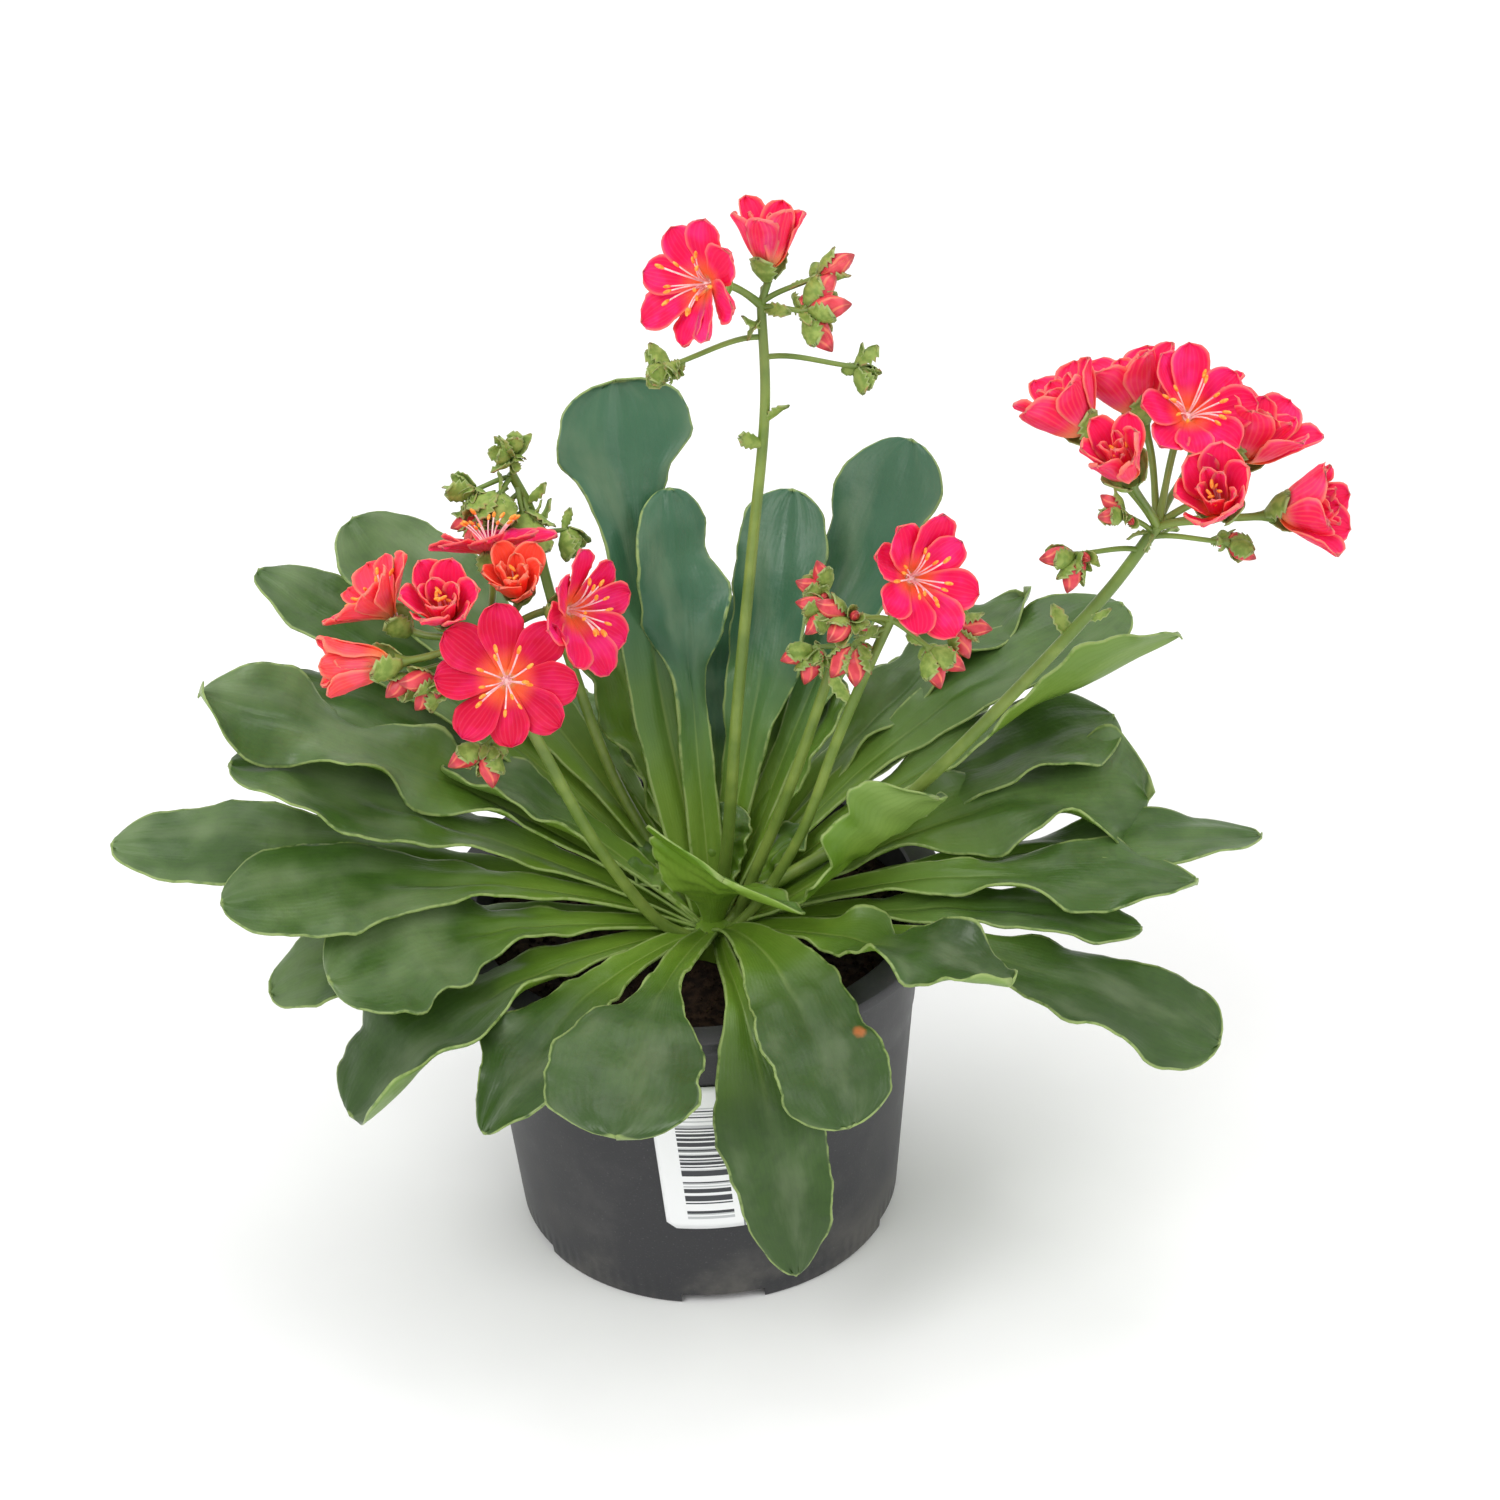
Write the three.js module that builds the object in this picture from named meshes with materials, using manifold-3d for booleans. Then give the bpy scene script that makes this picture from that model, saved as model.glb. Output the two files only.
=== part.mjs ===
// A siskiyou lewisia in a 12 cm nursery pot, in millimetres, +Z up.
// The origin is the middle of the pot's flat base. -Y is the side that carries the label.
// The rosette's leaves, the leafless flower stems and the blooms each have their own solid.

import * as THREE from 'three';
import { mergeVertices } from 'three/addons/utils/BufferGeometryUtils.js';
import Module from 'manifold-3d';

const wasm = await Module();
wasm.setup();

// Driving dimensions
const GAP = 0.3;
const SLIVER = 0.1;
const POT = { height: 88, rim: 60, lip: 3.5, top: 54, foot: 46.5, wall: 1.6, base: 1.8, sides: 32 };
const NOTCH = { count: 5, first: -88, width: 20, height: 3, depth: 5 };
const SOIL = { level: 79, crest: 1.5, hole: 11 };
const LABEL = { bearing: -89, low: 26, tall: 45, width: 26.5, thick: 0.6, lean: 3 };
const CROWN = {
  at: new THREE.Vector3(4, -8, 84), reach: 11.5, depth: 8, ribs: 11, rib: 0.9, root: 8, foot: 68,
};
const LEAF = {
  thick: 1.2, neck: 8, head: 29, flare: 0.1, peak: 0.82, channel: 0.9, spring: 0.4, hang: 0.35,
  left: 0.15, right: 0.15, turn: 0, ruffle: 0.5, waves: 2.5, phase: 0, sway: 0,
};
const PETAL = { length: 16, width: 9.6, thick: 0.7, claw: 1.9, throat: 3.5, pinwheel: 12 };
const SHOOT = 1;
const BUD = { length: 7, radius: 2.5, stalk: 2.5 };

const COLOURS = {
  pot: 0x33353a, soil: 0x2a1f18, label: 0xeceeef, crown: 0x7fa03a, leaf: 0x45753a, stem: 0x7f9540,
  petal: 0xee2f62,
};

const degrees = THREE.MathUtils.degToRad;
const smooth = THREE.MathUtils.smoothstep;
const UP = new THREE.Vector3(0, 0, 1);

// Unit vector from a bearing, counted from +X towards +Y, and a tilt above the horizontal
function heading(bearing, tilt) {
  const [b, e] = [degrees(bearing), degrees(tilt)];
  return new THREE.Vector3(Math.cos(b) * Math.cos(e), Math.sin(b) * Math.cos(e), Math.sin(e));
}

// A solid from shared points and triangles
function solidOf(points, faces) {
  const vertProperties = new Float32Array(points.flatMap((p) => [p.x, p.y, p.z]));
  const triVerts = new Uint32Array(faces.flat());
  return new wasm.Manifold(new wasm.Mesh({ numProp: 3, vertProperties, triVerts }));
}

// A solid turned about the Z axis from a profile of [radius, height] pairs
function turned(profile, sides) {
  const outline = profile.map(([r, z]) => new THREE.Vector2(r, z));
  const lathe = new THREE.LatheGeometry(outline, sides).rotateX(Math.PI / 2);
  lathe.deleteAttribute('normal');
  lathe.deleteAttribute('uv');
  const merged = mergeVertices(lathe, 1e-4);
  const place = merged.getAttribute('position');
  const pointAt = (_, i) => new THREE.Vector3().fromBufferAttribute(place, i);
  const points = Array.from({ length: place.count }, pointAt);
  const index = Array.from(merged.index.array);
  const faces = [];
  for (let i = 0; i < index.length; i += 3) {
    const [a, b, c] = index.slice(i, i + 3);
    if (a !== b && b !== c && c !== a) faces.push([a, b, c]);
  }
  return solidOf(points, faces);
}

// A thin closed blade: rows of points across it, thickened along each row's own normal.
// Both faces are split along the same diagonals, so a waved blade never meets itself.
function blade(rows, normals, thick) {
  const across = rows[0].length;
  const raised = (p, i, offset) => p.clone().addScaledVector(normals[i], offset);
  const layer = (offset) => rows.flatMap((row, i) => row.map((p) => raised(p, i, offset)));
  const points = [...layer(thick / 2), ...layer(-thick / 2)];
  const below = rows.length * across;
  const at = (i, j) => i * across + j;
  const faces = [];
  const wall = (p, q) => faces.push([p, p + below, q + below], [p, q + below, q]);
  for (let i = 0; i + 1 < rows.length; i++) {
    for (let j = 0; j + 1 < across; j++) {
      const [a, b, c, d] = [at(i, j), at(i + 1, j), at(i + 1, j + 1), at(i, j + 1)];
      faces.push([a, b, c], [a, c, d], [a + below, c + below, b + below], [a + below, d + below, c + below]);
    }
    wall(at(i, 0), at(i + 1, 0));
    wall(at(i + 1, across - 1), at(i, across - 1));
  }
  for (let j = 0; j + 1 < across; j++) {
    wall(at(0, j + 1), at(0, j));
    wall(at(rows.length - 1, j), at(rows.length - 1, j + 1));
  }
  return solidOf(points, faces);
}

// A closed round stalk along a curve, from [share of its length, radius] rings
function stalk(curve, rings, sides) {
  const fine = 40;
  const frames = curve.computeFrenetFrames(fine, false);
  const points = rings.flatMap(([share, radius]) => {
    const [normal, binormal] = [frames.normals, frames.binormals].map((set) => set[Math.round(share * fine)]);
    return Array.from({ length: sides }, (_, j) => {
      const turn = (2 * Math.PI * j) / sides;
      return curve.getPointAt(share).addScaledVector(normal, Math.cos(turn) * radius)
        .addScaledVector(binormal, Math.sin(turn) * radius);
    });
  });
  return ringed(points, rings.length, sides);
}

// A closed solid through rings of points
function ringed(points, rings, sides) {
  const faces = [];
  for (let i = 0; i + 1 < rings; i++) {
    for (let j = 0; j < sides; j++) {
      const [a, b] = [i * sides + j, i * sides + ((j + 1) % sides)];
      faces.push([a, b, b + sides], [a, b + sides, a + sides]);
    }
  }
  const last = (rings - 1) * sides;
  for (let j = 1; j + 1 < sides; j++) faces.push([0, j + 1, j], [last, last + j, last + j + 1]);
  return solidOf(points, faces);
}

// A closed spindle on an axis, from [radius, distance] rings, pointed at both ends
function spindle(base, axis, rings, sides, ribbed = () => 0) {
  const turn = new THREE.Quaternion().setFromUnitVectors(UP, axis);
  const points = rings.flatMap(([radius, along], i) => Array.from({ length: sides }, (_, j) => {
    const [a, r] = [(2 * Math.PI * j) / sides, radius + ribbed(j, i)];
    return new THREE.Vector3(r * Math.cos(a), r * Math.sin(a), along).applyQuaternion(turn).add(base);
  }));
  return ringed(points, rings.length, sides);
}

// Pot, with drainage notches cut through the corner of wall and base
function potSolid() {
  const { height, rim, lip, top, foot, wall, base, sides } = POT;
  const shell = turned([[0, 0], [foot, 0], [top, height - lip], [rim, height - lip], [rim, height],
    [top - wall, height], [foot - wall, base], [0, base]], sides);
  let pot = shell;
  for (let i = 0; i < NOTCH.count; i++) {
    const box = new THREE.BoxGeometry(2 * NOTCH.depth, NOTCH.width, 2 * NOTCH.height);
    box.translate(foot, 0, 0).rotateZ(degrees(NOTCH.first + (360 * i) / NOTCH.count));
    pot = pot.subtract(solidOfGeometry(box));
  }
  return pot;
}

function solidOfGeometry(geometry) {
  geometry.deleteAttribute('normal');
  geometry.deleteAttribute('uv');
  const merged = mergeVertices(geometry, 1e-4);
  const vertProperties = merged.getAttribute('position').array;
  const triVerts = new Uint32Array(merged.index.array);
  return new wasm.Manifold(new wasm.Mesh({ numProp: 3, vertProperties, triVerts }));
}

// Radius of the pot's wall inside, at a height
function innerRadius(z) {
  const { height, top, foot, wall, base } = POT;
  return THREE.MathUtils.mapLinear(z, base, height, foot - wall, top - wall);
}

// The pot and its soil with room for a gap, as one full shape
function potBarrier() {
  const { height, rim, lip, top, foot, wall, sides } = POT;
  const crest = SOIL.level + SOIL.crest + GAP;
  return turned([[0, 0], [foot, 0], [top, height - lip - GAP], [rim + GAP, height - lip - GAP],
    [rim + GAP, height + GAP], [top - wall - GAP, height + GAP], [innerRadius(SOIL.level), SOIL.level + GAP],
    [innerRadius(SOIL.level) * 0.5, crest], [SOIL.hole, crest], [SOIL.hole, SOIL.level], [0, SOIL.level],
  ], sides);
}

// Potting soil, with a plain hole for the root neck
function soilSolid() {
  const floor = POT.base + GAP;
  const [edge, top] = [innerRadius(SOIL.level), SOIL.level + SOIL.crest];
  const fill = turned([[0, floor], [innerRadius(floor) - GAP, floor], [edge - GAP, SOIL.level],
    [edge * 0.5, top], [0, top]], POT.sides);
  const hole = turned([[0, CROWN.foot - GAP], [CROWN.root + GAP, CROWN.foot - GAP], [SOIL.hole, top + 1],
    [0, top + 1]], 16).translate([CROWN.at.x, CROWN.at.y, 0]);
  return fill.subtract(hole);
}

// Paper label that follows the tapered wall
function labelSolid() {
  const { bearing, low, tall, width, thick, lean } = LABEL;
  const taper = Math.atan((POT.top - POT.foot) / (POT.height - POT.lip));
  const rows = [];
  const normals = [];
  const columns = 6;
  for (let j = 0; j <= columns; j++) {
    const offset = width * (j / columns - 0.5);
    const row = [];
    const outward = new THREE.Vector3();
    for (const k of [0, 1]) {
      const z = low + tall * k;
      const radius = POT.foot + z * Math.tan(taper) + GAP + thick / 2;
      const angle = bearing + THREE.MathUtils.radToDeg((offset - lean * (k - 0.5)) / radius);
      row.push(heading(angle, 0).multiplyScalar(radius).setZ(z));
      outward.add(heading(angle, -THREE.MathUtils.radToDeg(taper)));
    }
    rows.push(row);
    normals.push(outward.normalize());
  }
  return blade(rows, normals, thick);
}

// Leaves, listed from the heart of the rosette outwards, in degrees and millimetres.
// bearing, reach and rise place the tip from the crown;
// lift and fall are the midrib's slopes at its two ends; turn twists the head;
// left and right curl its margins up; ruffle and waves shape the waved edge.
const LEAVES = [
  {
    name: 'leaf_heart_fold', bearing: -84, reach: 26, rise: 31, lift: 70, fall: 40,
    head: 34, peak: 0.8, left: 0.25, right: 0.25, turn: -40,
  },
  { name: 'leaf_heart_left', bearing: 160, reach: 22, rise: 18, lift: 55, fall: 20, head: 15 },
  { name: 'leaf_heart_right', bearing: 63, reach: 11, rise: 28, lift: 80, fall: 60, head: 14 },
  {
    name: 'leaf_heart_young_back', bearing: 115, reach: 37, rise: 40, lift: 62, fall: 35,
    head: 15, ruffle: 1.8, waves: 3, phase: 0.2,
  },
  {
    name: 'leaf_heart_young_right', bearing: 55, reach: 47, rise: 51, lift: 60, fall: 40,
    head: 16, ruffle: 1.8, waves: 3.5,
  },
  { name: 'leaf_heart_young_east', bearing: 38, reach: 42, rise: 51, lift: 62, fall: 45, head: 13 },
  { name: 'leaf_heart_small', bearing: 18, reach: 24, rise: 21, lift: 50, fall: 20, head: 11 },
  { name: 'leaf_heart_west', bearing: 132, reach: 66, rise: 38, lift: 42, fall: 14, head: 27 },
  { name: 'leaf_heart_north_west', bearing: 118, reach: 50, rise: 60, lift: 62, fall: 45, head: 20 },
  {
    name: 'leaf_fold_right', bearing: -13, reach: 54, rise: 41, lift: 30, fall: 40,
    head: 30, left: 0.9, right: 0.5, turn: -55,
  },
  {
    name: 'leaf_fold_left', bearing: 171, reach: 62, rise: 43, lift: 48, fall: 20,
    head: 20, left: 0.9, right: 0.2,
  },
  {
    name: 'leaf_back_wavy', bearing: 98, reach: 36, rise: 99, lift: 76, fall: 62,
    head: 25, peak: 0.8, ruffle: 2.2, waves: 2.6, flare: 0.48, neck: 9,
  },
  { name: 'leaf_back_low', bearing: 84, reach: 46, rise: 65, lift: 62, fall: 48, head: 20 },
  {
    name: 'leaf_back_tall', bearing: 107, reach: 55, rise: 119, lift: 72, fall: 58,
    head: 34, peak: 0.9, ruffle: 1, waves: 2, sway: 5, flare: 0.66, neck: 15,
  },
  {
    name: 'leaf_back_centre', bearing: 62, reach: 51, rise: 92, lift: 68, fall: 55,
    head: 25, peak: 0.85, ruffle: 0.8, sway: -2,
  },
  {
    name: 'leaf_back_right', bearing: 45, reach: 75, rise: 99, lift: 58, fall: 48,
    head: 30, peak: 0.84, ruffle: 1, sway: -2, flare: 0.3,
  },
  {
    name: 'leaf_right_channel', bearing: 40, reach: 106, rise: 46, lift: 42, fall: 5,
    head: 20, left: 0.7, right: 0.7, ruffle: 2, waves: 4,
  },
  {
    name: 'leaf_right_long', bearing: 18, reach: 121, rise: 51, lift: 36, fall: 14,
    head: 23, left: 0.8, right: 0.7, ruffle: 1,
  },
  { name: 'leaf_right_back', bearing: 29, reach: 119, rise: 48, lift: 43, fall: 6, head: 27, peak: 0.85 },
  { name: 'leaf_right_far', bearing: 46, reach: 100, rise: 26, lift: 40, fall: 6, head: 32 },
  { name: 'leaf_left_pale', bearing: 152, reach: 118, rise: 72, lift: 42, fall: 20, head: 24 },
  { name: 'leaf_left_high', bearing: 140, reach: 108, rise: 77, lift: 46, fall: 24, head: 32, peak: 0.85 },
  {
    name: 'leaf_left_wavy', bearing: 174, reach: 116, rise: 65, lift: 42, fall: 22,
    head: 24, ruffle: 2.2, waves: 3.2, turn: -15,
  },
  { name: 'leaf_left_upper', bearing: 162, reach: 104, rise: 56, lift: 40, fall: 16, head: 24, ruffle: 1 },
  {
    name: 'leaf_left_under', bearing: 180, reach: 109, rise: 53, lift: 34, fall: 22,
    head: 30, ruffle: 0.8,
  },
  { name: 'leaf_right_round', bearing: 22, reach: 108, rise: 27, lift: 26, fall: 0, head: 30 },
  {
    name: 'leaf_right_waved', bearing: 11, reach: 108, rise: 15, lift: 22, fall: -25,
    head: 34, ruffle: 2.4, waves: 2.4, turn: 15,
  },
  {
    name: 'leaf_right_flat', bearing: 4, reach: 132, rise: 11, lift: 14, fall: -6,
    head: 20, ruffle: 1.2, waves: 3,
  },
  {
    name: 'leaf_right_split', bearing: -5, reach: 114, rise: 12, lift: 24, fall: -4,
    head: 20, ruffle: 1.4, waves: 3, turn: 8,
  },
  { name: 'leaf_right_low', bearing: -9, reach: 101, rise: 3, lift: 10, fall: -16, head: 18 },
  {
    name: 'leaf_left_long', bearing: 178, reach: 140, rise: 29, lift: 26, fall: 4,
    head: 24, ruffle: 0.6, turn: -18,
  },
  { name: 'leaf_left_broad', bearing: -170, reach: 114, rise: 27, lift: 30, fall: 0, head: 26, turn: -20 },
  {
    name: 'leaf_left_front', bearing: -160, reach: 94, rise: 13, lift: 22, fall: -12,
    head: 32, ruffle: 0.8, turn: -28,
  },
  { name: 'leaf_left_low', bearing: -176, reach: 106, rise: -7, lift: 14, fall: -28, head: 24, turn: -15 },
  {
    name: 'leaf_front_left', bearing: -150, reach: 98, rise: -13, lift: 14, fall: -42,
    head: 34, ruffle: 1.6, waves: 2.6,
  },
  {
    name: 'leaf_front_centre', bearing: -104, reach: 98, rise: 13, lift: 26, fall: -28,
    head: 37, peak: 0.85, flare: 0.4, neck: 10,
  },
  { name: 'leaf_front_curl', bearing: -130, reach: 84, rise: -8, lift: 20, fall: -40, head: 25 },
  {
    name: 'leaf_front_right', bearing: -42, reach: 87, rise: 24, lift: 24, fall: 0,
    head: 20, left: 0.9, ruffle: 1.4, waves: 3,
  },
  { name: 'leaf_front_spot', bearing: -69, reach: 76, rise: -7, lift: 36, fall: -45, head: 28, hang: 0.45 },
  {
    name: 'leaf_front_droop', bearing: -20, reach: 122, rise: -12, lift: 16, fall: -24,
    head: 28, sway: -3,
  },
  {
    name: 'leaf_front_hang', bearing: -79, reach: 75, rise: -50, lift: 15, fall: -80,
    head: 26, sway: -4, hang: 0.88, flare: 0, peak: 0.6, neck: 12,
  },
];

// The young leaves in the heart are one piece with the crown
function isHeart(leaf) {
  return leaf.name.includes('heart');
}

const STATIONS = [0, 0.22, 0.42, 0.6, 0.76, 0.9, 1];
const COLUMNS = [-1, -0.5, 0, 0.5, 1];
const YOUNG = { stations: [0, 0.35, 0.65, 0.86, 1], columns: [-1, 0, 1] };

// Half the leaf's width at a station
function halfWidth(leaf, s) {
  const neck = leaf.neck * THREE.MathUtils.lerp(0.6, 1, smooth(s, 0, 0.2));
  const grown = THREE.MathUtils.lerp(neck, leaf.head, smooth(s, leaf.flare, leaf.peak) ** 1.25);
  const past = Math.max(0, (s - leaf.peak) / (1 - leaf.peak));
  return 0.5 * grown * Math.max(0.26, Math.sqrt(Math.max(0, 1 - past ** 2.4)));
}

// Where a leaf of a given bearing and slope springs from the crown
function crownPoint(bearing, lift, sunk) {
  const out = (CROWN.reach - sunk) * Math.cos(degrees(lift));
  const up = (CROWN.depth - sunk) * Math.sin(degrees(lift));
  return CROWN.at.clone().addScaledVector(heading(bearing, 0), out).addScaledVector(UP, up);
}

// Rows of points across a leaf, with the normal of each row
function leafRows(spec, stations, columns) {
  const leaf = { ...LEAF, sunk: isHeart(spec) ? 3 : -2 * GAP, ...spec };
  const out = heading(leaf.bearing, 0);
  const side = heading(leaf.bearing + 90, 0);
  const start = crownPoint(leaf.bearing, leaf.lift, leaf.sunk);
  const tip = CROWN.at.clone().addScaledVector(out, leaf.reach).addScaledVector(UP, leaf.rise);
  const span = start.distanceTo(tip);
  const midrib = new THREE.CubicBezierCurve3(
    start,
    start.clone().addScaledVector(heading(leaf.bearing, leaf.lift), span * leaf.spring)
      .addScaledVector(side, leaf.sway),
    tip.clone().addScaledVector(heading(leaf.bearing, leaf.fall), -span * leaf.hang)
      .addScaledVector(side, leaf.sway),
    tip,
  );
  const rows = [];
  const normals = [];
  for (const s of stations) {
    const along = midrib.getTangentAt(s);
    const level = new THREE.Vector3().crossVectors(along, side).normalize();
    const turn = degrees(leaf.turn) * smooth(s, 0.3, 1);
    const across = side.clone().applyAxisAngle(along, turn);
    const normal = level.applyAxisAngle(along, turn);
    const width = halfWidth(leaf, s);
    rows.push(columns.map((u) => {
      const curl = u < 0 ? leaf.right : leaf.left;
      const rolled = leaf.channel * (1 - smooth(s, 0, 0.55)) + curl * smooth(s, 0.2, 0.7);
      const bend = rolled * Math.abs(u) + 1e-6;
      const wave = leaf.ruffle * smooth(s, 0.25, 0.6) * u * u
        * Math.sin(2 * Math.PI * (leaf.waves * s + leaf.phase + (u < 0 ? 0.4 : 0)));
      const arc = width * Math.abs(u) / bend;
      return midrib.getPointAt(s).addScaledVector(across, Math.sign(u) * arc * Math.sin(bend))
        .addScaledVector(normal, arc * (1 - Math.cos(bend)) + wave);
    }));
    normals.push(normal);
  }
  return { rows, normals, thick: leaf.thick };
}

// The leaf's solid, or with room for a gap all round it
function leafSolid(spec, room) {
  const { rows, normals, thick } = isHeart(spec) ? leafRows(spec, YOUNG.stations, YOUNG.columns)
    : leafRows(spec, STATIONS, COLUMNS);
  if (room > 0) {
    for (const row of rows) widen(row, room);
    extend(rows[0], rows[1], room);
    extend(rows.at(-1), rows.at(-2), room);
  }
  return blade(rows, normals, thick + 2 * room);
}

// Moves a row away from its neighbour
function extend(row, neighbour, room) {
  row.forEach((p, j) => {
    row[j] = p.clone().addScaledVector(p.clone().sub(neighbour[j]).normalize(), room);
  });
}

// Moves both ends of a row outwards
function widen(row, room) {
  const last = row.length - 1;
  const pull = (from, to) => row[to].clone().sub(row[from]).normalize().multiplyScalar(room);
  const [low, high] = [pull(1, 0), pull(last - 1, last)];
  row[0] = row[0].clone().add(low);
  row[last] = row[last].clone().add(high);
}

// Flower stems: the stalk's route, then side shoots that end in a bud or carry a bloom
const STEMS = [
  {
    name: 'stem_tall',
    route: [[5, -6, 84], [8, -7, 105], [12, -8, 145], [17, -8, 187], [21, -8, 222], [21, -8, 246]],
    thick: [2.2, 1.5],
    bracts: [
      [20, -8, 212, 170, 50, 6], [21, -8, 218, 10, 60, 5],
      [21, -8, 240, 190, 10, 5], [21, -8, 245, -60, 20, 5],
    ],
    shoots: [
      { from: [20, -8, 238], to: [0, -12, 234], buds: [[200, -30], [150, 10], [250, -10]], size: 0.75 },
      { from: [21, -8, 233], to: [42, -3, 227], buds: [[-20, -50], [30, 0]], size: 0.75 },
      { from: [21, -8, 245], to: [30, -11, 245], buds: [[-10, 10], [30, 35], [-30, -50]], size: 1.2 },
      { from: [21, -8, 246], to: [33, -5, 250], buds: [[10, 25], [-60, -60]], size: 1.1 },
    ],
    blooms: ['bloom_top_left', 'bloom_top_right'],
  },
  {
    name: 'stem_right',
    route: [
      [6, -9, 84], [16, -9, 94], [42, -10, 111], [57, -12, 127],
      [72, -14, 145], [96, -17, 176], [106, -18, 192],
    ],
    thick: [2, 1.5],
    bracts: [[87, -16, 163, 150, 60, 11], [90, -17, 168, -30, 10, 8], [106, -18, 190, 60, 10, 6]],
    shoots: [
      { from: [102, -18, 186], to: [88, -20, 187], buds: [[190, 0], [230, -60]], size: 1 },
      { from: [105, -18, 190], to: [98, -25, 199], buds: [[150, 30], [200, 10]], size: 0.8 },
      { from: [104, -18, 189], to: [121, -20, 188], buds: [[-10, -30], [40, -20]], size: 0.9 },
    ],
    blooms: ['bloom_right_1', 'bloom_right_2', 'bloom_right_3', 'bloom_right_4', 'bloom_right_5',
      'bloom_right_6', 'bloom_right_7', 'bloom_right_8'],
  },
  {
    name: 'stem_middle',
    route: [[6, -13, 84], [14, -15, 94], [25, -19, 116], [34, -24, 145], [42, -28, 168], [46, -29, 178]],
    thick: [1.7, 1.3],
    bracts: [[37, -26, 155, 200, 50, 7], [45, -29, 174, 150, 20, 6]],
    shoots: [
      { from: [45, -29, 176], to: [38, -31, 174], buds: [[200, -50], [260, -60]], size: 1.1 },
      { from: [46, -29, 178], to: [54, -33, 173], buds: [[-60, -60], [-20, -30]], size: 1.1 },
      { from: [46, -29, 178], to: [60, -28, 176], buds: [[-10, -10], [-40, -60]], size: 1 },
      { from: [45, -29, 177], to: [33, -26, 180], buds: [[170, 10], [210, -30]], size: 0.9 },
      { from: [46, -29, 178], to: [37, -34, 182], buds: [[230, -10], [180, 30]], size: 1 },
    ],
    blooms: ['bloom_middle'],
  },
  {
    name: 'stem_middle_back',
    route: [[9, -9, 85], [14, -11, 100], [22, -13, 122], [31, -17, 152], [35, -18, 166]],
    thick: [1.9, 1.3],
    bracts: [[33, -18, 160, 170, 40, 7]],
    shoots: [
      { from: [35, -18, 165], to: [30, -22, 168], buds: [[180, -20], [220, -60]], size: 1 },
      { from: [35, -18, 166], to: [33, -16, 178], buds: [[120, 60], [180, 30]], size: 0.9 },
    ],
    blooms: [],
  },
  {
    name: 'stem_left',
    route: [[-1, -13, 84], [-9, -16, 92], [-22, -20, 117], [-33, -22, 146], [-41, -21, 166], [-43, -19, 172]],
    thick: [2, 1.4],
    bracts: [[-35, -22, 149, 20, 30, 8], [-42, -20, 168, 100, 20, 6]],
    shoots: [
      { from: [-40, -21, 162], to: [-54, -24, 161], buds: [[200, 10], [180, -50]], size: 1.1 },
      { from: [-42, -20, 169], to: [-60, -20, 161], buds: [[220, -20], [170, -60]], size: 1 },
      { from: [-36, -22, 152], to: [-45, -27, 144], buds: [[200, -20], [280, -60]], size: 1.1 },
    ],
    blooms: ['bloom_left_1', 'bloom_left_2', 'bloom_left_3', 'bloom_left_4', 'bloom_left_5',
      'bloom_left_6', 'bloom_left_7'],
  },
  {
    name: 'stem_nodding',
    route: [
      [0, -4, 85], [-8, 3, 97], [-18, 11, 116], [-26, 19, 142],
      [-31, 25, 164], [-33, 28, 178], [-37, 28, 189],
    ],
    thick: [2, 1.3],
    bracts: [[-33, 27, 174, 20, 20, 7], [-32, 26, 166, 200, 40, 7]],
    shoots: [
      { from: [-35, 28, 184], to: [-42, 25, 179], buds: [[200, -70], [120, -80]], size: 1 },
      { from: [-37, 28, 188], to: [-46, 26, 184], buds: [[190, -40], [170, 0]], size: 1 },
      { from: [-35, 28, 183], to: [-33, 23, 178], buds: [[-60, -70], [240, -70]], size: 1 },
      { from: [-37, 28, 188], to: [-40, 25, 190], buds: [[120, 20], [-90, -60]], size: 0.9 },
      { from: [-32, 27, 173], to: [-25, 27, 174], buds: [[-30, -60]], size: 0.9 },
    ],
    blooms: [],
  },
];

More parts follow.
